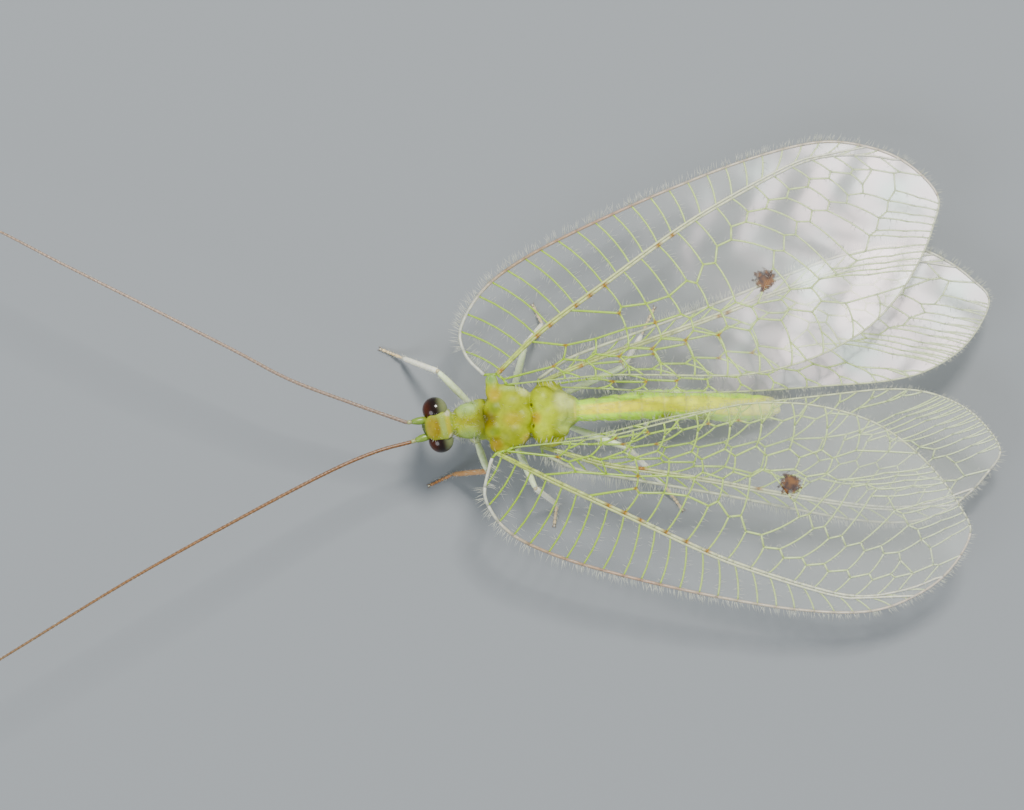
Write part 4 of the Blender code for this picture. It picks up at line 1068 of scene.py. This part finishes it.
def vein_net(curves, ties, ends):
    """The veins as a net: places of its knots, and for each pair of joined knots its kind and path.

    Each tie pulls the long veins a little towards itself, so they run in a zigzag.
    """
    stops = {name: {0.0: None, 1.0: None} for name in curves}
    pulls = []

    def stop(name, share):
        near = [s for s in stops[name] if abs(s - share) < CLOSEST_TIES]
        stops[name].setdefault(near[0] if near else share, None)
        return near[0] if near else share

    for name, both_ends in ends.items():
        for share, other in zip((0.0, 1.0), both_ends):
            if other != "hinge":
                stop(other, nearest_share(curves[other], smooth(curves[name], share)))
    for first, second, count, span_a, span_b, bow in ties:
        spread = (span_b[1] - span_b[0]) / max(count - 1, 1) * FORK_SPREAD
        for i in range(count):
            t = i / (count - 1) if count > 1 else 0
            a = stop(first, span_a[0] + (span_a[1] - span_a[0]) * t)
            b = span_b[0] + (span_b[1] - span_b[0]) * t
            far = (b - spread, b + spread) if second in FORKED else (b,)
            pulls.append((first, a, second, [stop(second, share) for share in far], bow))
    knots = []
    rows = {}
    round_tip = {"costa": curves["hind_margin"][-2], "hind_margin": curves["costa"][-2]}
    for name, points in curves.items():
        rows[name] = sorted(stops[name])
        for share in rows[name]:
            stops[name][share] = len(knots)
            knots.append(smooth(points, share, round_tip.get(name)))
    for first, a, second, far, _ in pulls:
        ia = stops[first][a]
        for b in far:
            ib = stops[second][b]
            shift = (knots[ib] - knots[ia]) * ZIGZAG / len(far)
            shift *= min(1, FARTHEST_PULL / max(shift.length, 1e-6))
            if first not in STRAIGHT:
                knots[ia] = knots[ia] + shift
            if second not in STRAIGHT:
                knots[ib] = knots[ib] - shift
    same = {stops["hind_margin"][1.0]: stops["costa"][1.0]}
    hinge = [stops["costa"][0.0], stops["hind_margin"][0.0]]
    for name, (start, end) in ends.items():
        for share, other in ((0.0, start), (1.0, end)):
            knot = stops[name][share]
            if other == "hinge":
                hinge.append(knot)
            else:
                same[knot] = min(stops[other].values(),
                                 key=lambda i: (knots[i] - knots[knot]).length)
    for knot, other in same.items():
        knots[knot] = knots[other]

    def settled(i):
        while i in same:
            i = same[i]
        return i

    net = {}

    def tie_up(a, b, kind, path):
        a, b = settled(a), settled(b)
        if a == b:
            return
        path = [knots[a], *path[1:-1], knots[b]]
        net[(a, b) if a < b else (b, a)] = (kind, path if a < b else path[::-1])

    for name, shares in rows.items():
        for s0, s1 in zip(shares, shares[1:]):
            a, b = stops[name][s0], stops[name][s1]
            if name in STRAIGHT:
                steps = 1 + int((s1 - s0) / CURVE_STEP)
                path = [smooth(curves[name], s0 + (s1 - s0) * k / steps, round_tip.get(name))
                        for k in range(steps + 1)]
            else:
                path = [knots[a].lerp(knots[b], k / 2) for k in range(3)]
            tie_up(a, b, name, path)
    hinge.sort(key=lambda i: (knots[i] - knots[stops["costa"][0.0]]).length)
    for a, b in zip(hinge, hinge[1:]):
        tie_up(a, b, "hinge", [knots[a], knots[b]])
    junctions = []
    for first, a, second, far, bow in pulls:
        ia = stops[first][a]
        junctions.append(settled(ia))
        if len(far) == 1:
            ib = stops[second][far[0]]
            tie_up(ia, ib, "tie", bowed(knots[settled(ia)], knots[settled(ib)], bow))
            continue
        ends_at = [knots[stops[second][share]] for share in far]
        start = knots[settled(ia)]
        knots.append(start.lerp((ends_at[0] + ends_at[1]) / 2, FORK_AT))
        fork = len(knots) - 1
        tie_up(ia, fork, "tie", bowed(start, knots[fork], bow))
        for share in far:
            ib = stops[second][share]
            tie_up(fork, ib, "tie", bowed(knots[fork], knots[ib], bow))
    return knots, net, junctions


# Brown stain across a few small cells of each forewing, ragged along the veins
STAIN_AT = (0.603, -0.033)
STAIN_MOVES = {"forewing_right": (-0.006, 0.009), "forewing_left": (0.007, -0.009)}
STAIN_HALF = 0.0240
STAIN_SOFTNESS = 0.012
# How ragged its edge is, and how soon it covers the colour below
STAIN_RAG = 0.034
STAIN_COVER = 8.0
STAIN_COLOURS = ("764A12", "34190B")
# Patterns of the wings, how many to the millimetre
RAGS_PER_MM = 7.5
STAIN_PATCHES_PER_MM = 3.75
FILM_WAVES_PER_MM = 0.4375
VEIN_MOTTLES_PER_MM = 12
STAIN_ALPHA = 0.94
STAIN_ROUGHNESS = 0.8
CLEAR_COLOUR = "EEF3EA"
CLEAR_ROUGHNESS = 0.17
# Thickness of the clear film in nanometres, and its haze and painted sheen from the wing's root to
# its tip
FILM_THICKNESS = (610.0, 695.0)
FILM_HAZE_AND_SHEEN = (0.014, 0.135)


def tree_of(places):
    """A search tree of places on the flat wing."""
    tree = KDTree(max(len(places), 1))
    for i, place in enumerate(places):
        tree.insert(place.to_3d(), i)
    tree.balance()
    return tree


def stained(material, bare):
    """The colour with the wing's brown stain over it, how dense the stain is, and where it is."""
    place = add_node(material, "UVMap", uv_map="wing").outputs["UV"]
    wobble = add_node(material, "TexNoise", {
        "Vector": place, "Scale": RAGS_PER_MM * FOREWING_LENGTH, "Detail": 4.0})
    centred = add_node(material, "VectorMath", {0: wobble.outputs["Color"], 1: (0.5, 0.5, 0.5)},
                       operation="SUBTRACT")
    shifted = add_node(material, "VectorMath", {
        0: centred.outputs[0], 1: (STAIN_RAG, STAIN_RAG, 0.0), 2: place}, operation="MULTIPLY_ADD")
    away = add_node(material, "VectorMath", {0: shifted.outputs[0], 1: (*STAIN_AT, 0.0)},
                    operation="DISTANCE")
    mask = add_node(material, "MapRange", {"Value": away.outputs["Value"], "From Min": STAIN_HALF,
                                           "From Max": STAIN_HALF - STAIN_SOFTNESS})
    patches = add_node(material, "TexNoise", {
        "Vector": place, "Scale": STAIN_PATCHES_PER_MM * FOREWING_LENGTH, "Detail": 3.0})
    tone = add_node(material, "MapRange", {"Value": patches.outputs["Fac"], "From Min": 0.40,
                                           "From Max": 0.60})
    brown = add_node(material, "Mix", {0: tone.outputs["Result"], 6: linear(STAIN_COLOURS[0]),
                                       7: linear(STAIN_COLOURS[1])}, data_type="RGBA")
    soaked = add_node(material, "Math", {0: mask.outputs["Result"], 1: STAIN_COVER},
                      operation="MULTIPLY", use_clamp=True).outputs["Value"]
    colour = add_node(material, "Mix", {0: soaked, 6: bare, 7: brown.outputs[2]}, data_type="RGBA")
    return colour.outputs[2], mask.outputs["Result"], soaked


def make_film(name, spotted):
    """Wing membrane, two bare layers of clear cuticle.

    They give almost no colour, a hard gloss, and the faint pink and green of a very thin film, and
    are hazier and whiter towards the tip, partly a painted sheen.
    """
    film, shader = new_material(name, {
        "Base Color": linear(CLEAR_COLOUR), "Roughness": CLEAR_ROUGHNESS, "Specular IOR Level": 1.0,
        "IOR": 1.56, "Thin Film IOR": 1.80})
    place = add_node(film, "UVMap", uv_map="wing").outputs["UV"]
    waves = add_node(film, "TexNoise", {
        "Vector": place, "Scale": FILM_WAVES_PER_MM * FOREWING_LENGTH, "Detail": 2.0})
    thickness = add_node(film, "MapRange", {
        "Value": waves.outputs["Fac"], "From Min": 0.3, "From Max": 0.7,
        "To Min": FILM_THICKNESS[0], "To Max": FILM_THICKNESS[1]}).outputs["Result"]
    share = add_node(film, "SeparateXYZ", {0: place}).outputs["X"]
    # Whiter towards the tip: partly the film's own haze, partly a painted sheen
    haze_and_sheen = add_node(film, "MapRange", {
        "Value": share, "From Min": 0.35, "From Max": 0.9,
        "To Min": FILM_HAZE_AND_SHEEN[0], "To Max": FILM_HAZE_AND_SHEEN[1]}).outputs["Result"]
    if spotted:
        colour, mask, soaked = stained(film, linear(CLEAR_COLOUR))
        link(film, colour, shader, "Base Color")
        haze_and_sheen, roughness, thickness = (
            add_node(film, "Mix", {0: share, 2: clear, 3: brown}, data_type="FLOAT").outputs[0]
            for share, clear, brown in ((mask, haze_and_sheen, STAIN_ALPHA),
                                        (soaked, CLEAR_ROUGHNESS, STAIN_ROUGHNESS),
                                        (soaked, thickness, 0.0)))
        link(film, roughness, shader, "Roughness")
    link(film, haze_and_sheen, shader, "Alpha")
    link(film, thickness, shader, "Thin Film Thickness")
    return film


def make_vein_cuticle(name, spotted):
    """Hollow veins of tanned cuticle, satin and a little translucent, with the same stain."""
    cuticle, shader = new_material(name, {
        "Roughness": 0.34, "Specular IOR Level": 0.55, "Subsurface Weight": 0.25,
        "Subsurface Radius": (1.0, 0.9, 0.4), "Subsurface Scale": 0.00008, "Coat Weight": 0.1,
        "Coat Roughness": 0.2})
    where = add_node(cuticle, "TexCoord").outputs["Object"]
    tint = add_node(cuticle, "Attribute", attribute_name="vein_tint").outputs["Color"]
    colour = mottled(cuticle, where, tint, VEIN_MOTTLES_PER_MM, 2.0, 0.85, 1.12)
    if spotted:
        colour, _, _ = stained(cuticle, colour)
    link(cuticle, colour, shader, "Base Color")
    return cuticle


wing_films = {"fore": make_film("clear forewing membrane", True),
              "hind": make_film("clear hindwing membrane", False)}
vein_cuticles = {"fore": make_vein_cuticle("forewing vein cuticle", True),
                 "hind": make_vein_cuticle("hindwing vein cuticle", False)}


def wing_surface(name):
    """What turns a place of the flat wing, in shares of its length, into a place of the model."""
    plan, _, root, _, root_z, _ = WINGS[name]
    length = WING_PLANS[plan][0]
    out, front = wing_axes(name)

    def on_wing(p, rise=0.0):
        flat = Vector(root) + (out * p.x + front * p.y) * length
        ripple = RIPPLE * math.sin(RIPPLE_ALONG * p.x
                                   + RIPPLE_BEND * math.sin(RIPPLE_ACROSS * p.y))
        return Vector((flat.x, flat.y, root_z - ROOF_SLOPE * p.y * length - TIP_DROOP * p.x ** 2
                       + ripple + rise))

    return on_wing


def corner_points(piece):
    """Which of the piece's points each corner of its faces stands on."""
    corners = np.zeros(len(piece.data.loops), np.int32)
    piece.data.loops.foreach_get("vertex_index", corners)
    return corners


def wing_map(piece, places, name):
    """A UV map of the piece that gives each point its place on the flat wing, set to its stain."""
    places = np.array(places, np.float32) - np.array(STAIN_MOVES.get(name, (0, 0)), np.float32)
    uv = piece.data.uv_layers.new(name="wing")
    uv.data.foreach_set("uv", places[corner_points(piece)].ravel())


wing_lines = {}
draw = np.random.default_rng(11)
for name, (plan, *_) in WINGS.items():
    length, _, ties, ends = WING_PLANS[plan]
    curves = wing_curves(name)
    knots, net, junctions = vein_net(curves, ties, ends)
    on_wing = wing_surface(name)

    # Veins
    marked = [knots[j] * length for j in junctions
              if draw.random() < JUNCTION_SHARE and knots[j].x < JUNCTION_END]
    spots = tree_of(marked)
    lines = list(net.values())
    shares = [k / SUBCOSTA_STEPS for k in range(SUBCOSTA_STEPS + 1)]
    radius_line = [smooth(curves["radius"], s) for s in shares]
    subcosta_end = smooth(curves["costa"], SUBCOSTA_END)
    subcosta = []
    for s, a, b in zip(shares, radius_line, radius_line[1:] + radius_line[-1:]):
        across = Vector((a.y - b.y, b.x - a.x)).normalized() if b != a else Vector((0, 1))
        subcosta.append(a + across * (SUBCOSTA_GAP * min(1.0, 0.5 + 4 * s)))
    subcosta = subcosta[:SUBCOSTA_LEAVES]
    turn_off = subcosta[-3:] + [subcosta_end]
    subcosta += [smooth(turn_off, k / SUBCOSTA_TURN)
                 for k in range(SUBCOSTA_TURN // 2, SUBCOSTA_TURN + 1)]
    lines.append(("subcosta", subcosta))
    threads = Threads()
    for kind, path in lines:
        thick_root, thick_tip = VEIN_HALF[kind]
        dense = []
        for p, q in zip(path, path[1:]):
            steps = max(1, int((q - p).length * length / VEIN_STEP))
            dense += [p.lerp(q, k / steps) for k in range(steps)]
        dense.append(path[-1])
        colours, radii = [], []
        for p in dense:
            x = min(max(p.x, 0.0), 1.0)
            half = thick_root + (thick_tip - thick_root) * x
            table = {"costa": EDGE_COLOURS[plan], "radius": THICK_VEIN_COLOURS,
                     "subcosta": THICK_VEIN_COLOURS}.get(kind, VEIN_COLOURS)
            colour = np.array(along_colours(table, x))
            if kind == "hind_margin":
                pale = MARGIN_SHARE * min(1.0, x / MARGIN_TURN)
                colour = colour * (1 - pale) + np.array(linear(MARGIN_COLOUR)) * pale
            if kind != "hind_margin" and marked:
                _, _, away = spots.find(p.to_3d() * length)
                near = max(0.0, 1 - away / JUNCTION_REACH)
                colour = colour + (np.array(linear(JUNCTION_COLOUR)) - colour) * near
                half *= 1 + JUNCTION_SWELL * near
            colours.append(tuple(colour))
            radii.append(half)
        rise = THICK_VEIN_RISE if kind in THICK_VEINS else 0.0
        threads.add([on_wing(p, rise) for p in dense], radii, colours, VEIN_SIDES,
                    [(p.x, p.y) for p in dense])
    veins = threads.piece(f"{name}_veins", "vein_tint")
    wing_map(veins, threads.places, name)
    veins.data.materials.append(vein_cuticles[plan])
    finish_piece(veins, "wing_membrane")
    wing_lines[name] = (lines, length)

    # Membrane
    flat, constraints, seen = [], [], {}

    def flat_point(p):
        key = (round(p.x, 6), round(p.y, 6))
        if key not in seen:
            seen[key] = len(flat)
            flat.append(Vector(key))
        return seen[key]

    for _, path in net.values():
        row = [flat_point(p) for p in path]
        constraints += [(a, b) for a, b in zip(row, row[1:]) if a != b]
    beads = [p.lerp(q, k / BEADS) for _, path in net.values() for p, q in zip(path, path[1:])
             for k in range(BEADS + 1)]
    on_veins = tree_of(beads)
    step = MEMBRANE_GRID / length
    xs = np.arange(*GRID_ALONG, step)
    for row, y in enumerate(np.arange(*GRID_ACROSS, step * GRID_ROWS)):
        for x in xs + (step / 2 if row % 2 else 0):
            p = Vector((x, y))
            if on_veins.find(p.to_3d())[2] > step * GRID_CLEARANCE:
                flat.append(p)
    points, _, faces, _, _, _ = delaunay_2d_cdt(flat, constraints, [], 1, 1e-7)
    reach = BULGE_REACH / length
    solid = []
    for p in points:
        away = on_veins.find(p.to_3d())[2]
        wave = math.sin(p.x * BULGE_ALONG + BULGE_BEND * math.sin(p.y * BULGE_ACROSS))
        bulge = CELL_BULGE * (wave * BULGE_RANGE + BULGE_MEAN)
        solid.append(on_wing(p, bulge * min(1.0, away / reach)))
    membrane = mesh_piece(f"{name}_membrane", solid, faces)
    wing_map(membrane, [(p.x, p.y) for p in points], name)
    select_only(membrane)
    bpy.ops.object.mode_set(mode="EDIT")
    bpy.ops.mesh.select_all(action="SELECT")
    bpy.ops.mesh.delete_loose(use_verts=True, use_edges=True, use_faces=False)
    bpy.ops.mesh.select_all(action="SELECT")
    bpy.ops.mesh.normals_make_consistent(inside=False)
    bpy.ops.object.mode_set(mode="OBJECT")
    modify(membrane, "SOLIDIFY", thickness=MEMBRANE_THICK, offset=0)
    membrane.data.materials.append(wing_films[plan])
    finish_piece(membrane, "wing_membrane", name)
    select_only(membrane)
    bpy.ops.object.shade_smooth_by_angle(angle=SMOOTH_UP_TO)

# Hairs
# Stiff, pale hairs on body, limbs, wing margins and veins, each growing from a socket in the skin.
# The real ones are about 6 micrometres thick, drawn here at 8 to 17 to show at all.
HAIR_SIDES = 3
HAIR_SINK = 0.02
HAIR_PATCH = 0.003
# Along a hair: how far, and how full it is there, before it ends in a point
HAIR_RINGS = ((0.0, 1.0), (0.55, 0.66))
# Of the body: region along x, number of hairs, length, thickness, how far they lean to the tail
BODY_AXIS = ((-3.1, 2.4), (0.0, 2.6), (2.16, 2.2), (5.0, 1.47), (7.6, 0.7), (9.05, 0.42))
BODY_HAIRS = (
    ("head", (-3.1, -1.9), 220, 0.10, 0.010, 0.2),
    ("first ring", (-1.9, -1.02), 330, 0.22, 0.010, 0.1),
    ("second and third ring", (-0.85, 2.2), 360, 0.15, 0.008, 0.5),
    ("abdomen", (2.2, 9.1), 1500, 0.17, 0.010, 0.9),
)
# How far they spread, their lengths as shares of that, and which way they bend over
BODY_HAIR_SPREAD = 0.22
BODY_HAIR_LENGTHS = (0.6, 1.25)
BODY_HAIR_BEND = (0.10, 0.0, -0.04)
# Where the body's map starts, and how long it is
MAP_START = -3.2
MAP_LENGTH = 12.6
# Of the wings: kind of vein, spacing, length, thickness
WING_HAIRS = {
    "costa": (0.044, 0.38, 0.017), "hind_margin": (0.055, 0.22, 0.013),
    "radius": (0.12, 0.24, 0.014), "subcosta": (0.16, 0.22, 0.014), "sector": (0.12, 0.28, 0.014),
    "media": (0.12, 0.28, 0.014), "cubitus": (0.12, 0.26, 0.014), "gradates": (0.14, 0.24, 0.014),
    "tie": (0.12, 0.28, 0.014), "hinge": (0.10, 0.22, 0.014),
}
# How they rise outwards from the edges and stand up from the veins, most of them above the wing,
# how they lean to the tip, and how far inwards a point is sought to tell which way is out
EDGE_LIFT = (0.25, 0.35)
VEIN_LIFT = (0.45, 1.3)
SHARE_ABOVE = 0.8
WING_HAIR_LEAN = (0.25, 0.3)
INWARDS = 0.1
# They are longer at the root and get shorter towards the tip by this much
LONGER_AT_ROOT = 1.25
SHORTER_TO_TIP = 0.55
WING_HAIR_LENGTHS = (0.65, 1.2)
WING_HAIR_BEND = (0.08, 0.0, -0.03)
# On the body no hair grows below the lowest face, and only where the skin faces up below the next
# height. On limbs the root and the tip of each keep above the floor.
LOWEST_FACE = 0.12
LOWEST_HAIRY = 0.45
LOWEST_ROOT = 0.06
LOWEST_TIP = 0.015
# Of the limbs: length and thickness, and number in a millimetre
LIMB_HAIR = (0.13, 0.012)
LIMB_HAIRS_PER_MM = 46
FEELER_HAIR = (0.075, 0.009)
FEELER_HAIRS_PER_MM = 30
FEELER_STRETCHES = 40
LIMB_HAIR_LEAN = (0.5, 1.1)
LIMB_HAIR_LENGTHS = (0.6, 1.2)
LIMB_SOCKET = 0.9
# Half thickness of a leg at the middle and end of its coxa, at knee, ankle and foot
LEG_HALVES = (0.17, 0.10, 0.09, 0.055, 0.04)
HAIR_COLOURS = ("E4E2D5", "C8CFAA")
HAIR_SHADES_PER_MM = 3

# Solid bristles of clear cuticle: satin, whitish, and bright where they catch the light
hair_cuticle, hair_shader = new_material("clear pale hair", {
    "Roughness": 0.38, "Specular IOR Level": 0.6, "Subsurface Weight": 0.3,
    "Subsurface Radius": (1.0, 0.95, 0.8), "Subsurface Scale": 0.00005})
where = add_node(hair_cuticle, "TexCoord").outputs["Object"]
hair_noise = add_node(hair_cuticle, "TexNoise", {
    "Vector": where, "Scale": HAIR_SHADES_PER_MM / MM}).outputs["Fac"]
hair_colour = add_node(hair_cuticle, "Mix", {
    0: hair_noise, 6: linear(HAIR_COLOURS[0]), 7: linear(HAIR_COLOURS[1])}, data_type="RGBA")
link(hair_cuticle, hair_colour.outputs[2], hair_shader, "Base Color")


def unit(vectors):
    """Each row brought to length one."""
    return vectors / np.maximum(np.linalg.norm(vectors, axis=1), 1e-9)[:, None]


def grow_hairs(name, slot, roots, ways, lengths, thick, bends, places):
    """One mesh of closed, tapered hairs, bent over, each a small patch on the skin's own unwrap."""
    count = len(roots)
    ways = unit(ways)
    steep = np.abs(ways[:, 2:3]) >= 0.9
    side = unit(np.cross(ways, np.where(steep, [[1.0, 0.0, 0.0]], [[0.0, 0.0, 1.0]])))
    up = np.cross(ways, side)
    points = np.zeros((count, 2 * HAIR_SIDES + 1, 3))
    for row, (share, fullness) in enumerate(HAIR_RINGS):
        centre = roots + ways * (lengths * share - HAIR_SINK * (row == 0))[:, None]
        centre = centre + bends * (lengths * share ** 2)[:, None]
        for k in range(HAIR_SIDES):
            turn = 2 * math.pi * k / HAIR_SIDES
            ring = side * math.cos(turn) + up * math.sin(turn)
            points[:, row * HAIR_SIDES + k] = centre + ring * thick * fullness / 2
    points[:, -1] = roots + ways * lengths[:, None] + bends * lengths[:, None]
    faces = [(2, 1, 0), (0, 1, 4, 3), (1, 2, 5, 4), (2, 0, 3, 5), (3, 4, 6), (4, 5, 6), (5, 3, 6)]
    step = 2 * HAIR_SIDES + 1
    hairs = mesh_piece(name, points.reshape(-1, 3),
                       [tuple(i * step + v for v in face) for i in range(count) for face in faces])
    corner_offsets = np.array([(0, 0), (1, 0), (0.5, 1), (0, 0.5), (1, 0.5), (0.5, 1), (0.5, 0.5)])
    corners = corner_points(hairs)
    flat = places[corners // step] + corner_offsets[corners % step] * HAIR_PATCH
    uv = hairs.data.uv_layers.new(name="OFBake")
    uv.data.foreach_set("uv", flat.astype(np.float32).ravel())
    hairs.data.materials.append(hair_cuticle)
    finish_piece(hairs, slot)


# Hairs of the body
draw = np.random.default_rng(5)
centres, normals = (np.zeros(len(body_shape.polygons) * 3, np.float32) for _ in range(2))
body_shape.polygons.foreach_get("center", centres)
body_shape.polygons.foreach_get("normal", normals)
centres, normals = centres.reshape(-1, 3), normals.reshape(-1, 3)
roots, ways, lengths, thick = [], [], [], []
for _, (start, end), count, length, width, lean in BODY_HAIRS:
    x, _, z = centres.T
    inside = np.flatnonzero((x > start) & (x < end) & (z > LOWEST_FACE))
    chosen = draw.choice(inside, count, replace=False)
    low = centres[chosen][:, 2] < LOWEST_HAIRY
    chosen = chosen[~low | (normals[chosen][:, 2] > 0)]
    count = len(chosen)
    roots.append(centres[chosen])
    ways.append(normals[chosen] + np.array([lean, 0, 0])
                + draw.normal(0, BODY_HAIR_SPREAD, (count, 3)))
    lengths.append(length * draw.uniform(*BODY_HAIR_LENGTHS, count))
    thick.append(np.full((count, 1), width))
roots, ways, lengths, thick = (np.concatenate(rows) for rows in (roots, ways, lengths, thick))
spin = np.arctan2(roots[:, 1], roots[:, 2] - np.interp(roots[:, 0], *zip(*BODY_AXIS)))
places = np.stack([(roots[:, 0] - MAP_START) / MAP_LENGTH, spin / (2 * math.pi) + 0.5], 1)
grow_hairs("body_hairs", "green_cuticle", roots, ways, lengths, thick,
           np.tile(BODY_HAIR_BEND, (len(roots), 1)), places)

# Hairs of the wings
for name, (lines, length) in wing_lines.items():
    on_wing = wing_surface(name)
    roots, ways, lengths, thick, places = [], [], [], [], []
    for kind, path in lines:
        spacing, hair_length, width = WING_HAIRS[kind]
        for p, q in zip(path, path[1:]):
            stretch = (q - p).length * length
            for _ in range(draw.poisson(stretch / spacing)):
                spot = p.lerp(q, draw.random())
                ahead = (on_wing(q) - on_wing(p)).normalized()
                out_of = ahead.cross(Vector((0, 0, 1))).normalized()
                if kind in ("costa", "hind_margin"):
                    inwards = Vector((0, -INWARDS if kind == "costa" else INWARDS))
                    middle = on_wing(spot + inwards)
                    out_of = out_of * (1 if out_of.dot(on_wing(spot) - middle) > 0 else -1)
                    lift = draw.normal(*EDGE_LIFT)
                else:
                    out_of = out_of * (1 if draw.random() < 0.5 else -1)
                    lift = draw.uniform(*VEIN_LIFT) * (1 if draw.random() < SHARE_ABOVE else -1)
                root = on_wing(spot)
                roots.append(root)
                ways.append(out_of + ahead * draw.normal(*WING_HAIR_LEAN) + Vector((0, 0, lift)))
                here = LONGER_AT_ROOT - SHORTER_TO_TIP * min(max(spot.x, 0.0), 1.0)
                lengths.append(hair_length * here * draw.uniform(*WING_HAIR_LENGTHS))
                thick.append([width])
                places.append((spot.x, spot.y + 0.5))
    grow_hairs(f"{name}_hairs", "wing_membrane", np.array(roots), np.array(ways), np.array(lengths),
               np.array(thick), np.tile(WING_HAIR_BEND, (len(roots), 1)), np.array(places))


def limb_hairs(name, slot, routes, hair, per_mm):
    """Hairs all round each of several jointed limbs, leaning to their tips."""
    roots, ways, lengths, places = [], [], [], []
    for index, route in enumerate(routes):
        total = sum((b - a).length for (a, _), (b, _) in zip(route, route[1:]))
        passed = 0.0
        for (a, half_a), (b, half_b) in zip(route, route[1:]):
            stretch = (b - a).length
            ahead = (b - a).normalized()
            side = ahead.orthogonal().normalized()
            for _ in range(draw.poisson(stretch * per_mm)):
                share, turn = draw.random(), draw.uniform(0, 2 * math.pi)
                out_of = side * math.cos(turn) + ahead.cross(side) * math.sin(turn)
                half = half_a + (half_b - half_a) * share
                root = a.lerp(b, share) + out_of * half * LIMB_SOCKET
                if root.z < LOWEST_ROOT:
                    continue
                way = (out_of + ahead * draw.uniform(*LIMB_HAIR_LEAN)).normalized()
                above_floor = (root.z - LOWEST_TIP) / max(-way.z, 0.01)
                roots.append(root)
                ways.append(way)
                lengths.append(min(hair[0] * draw.uniform(*LIMB_HAIR_LENGTHS), above_floor))
                places.append(((index + (passed + stretch * share) / total) / len(routes),
                               turn / (2 * math.pi)))
            passed += stretch
    grow_hairs(name, slot, np.array(roots), np.array(ways), np.array(lengths), hair[1],
               np.zeros((len(roots), 3)), np.array(places))


# Hairs of the legs and feelers
leg_routes = []
for top, coxa_end, knee, ankle, *foot in leg_joints.values():
    spots = [top.lerp(coxa_end, 0.5), coxa_end, knee, ankle, *foot]
    leg_routes.append(list(zip(spots, LEG_HALVES + LEG_HALVES[-1:] * (len(foot) - 1))))
limb_hairs("leg_hairs", "pale_limb", leg_routes, LIMB_HAIR, LIMB_HAIRS_PER_MM)
shares = [k / FEELER_STRETCHES for k in range(FEELER_STRETCHES + 1)]
thread_routes = [[(smooth(curve, share), feeler_half(share)) for share in shares]
                 for curve in feeler_routes.values()]
limb_hairs("feeler_hairs", "feeler_cuticle", thread_routes, FEELER_HAIR, FEELER_HAIRS_PER_MM)
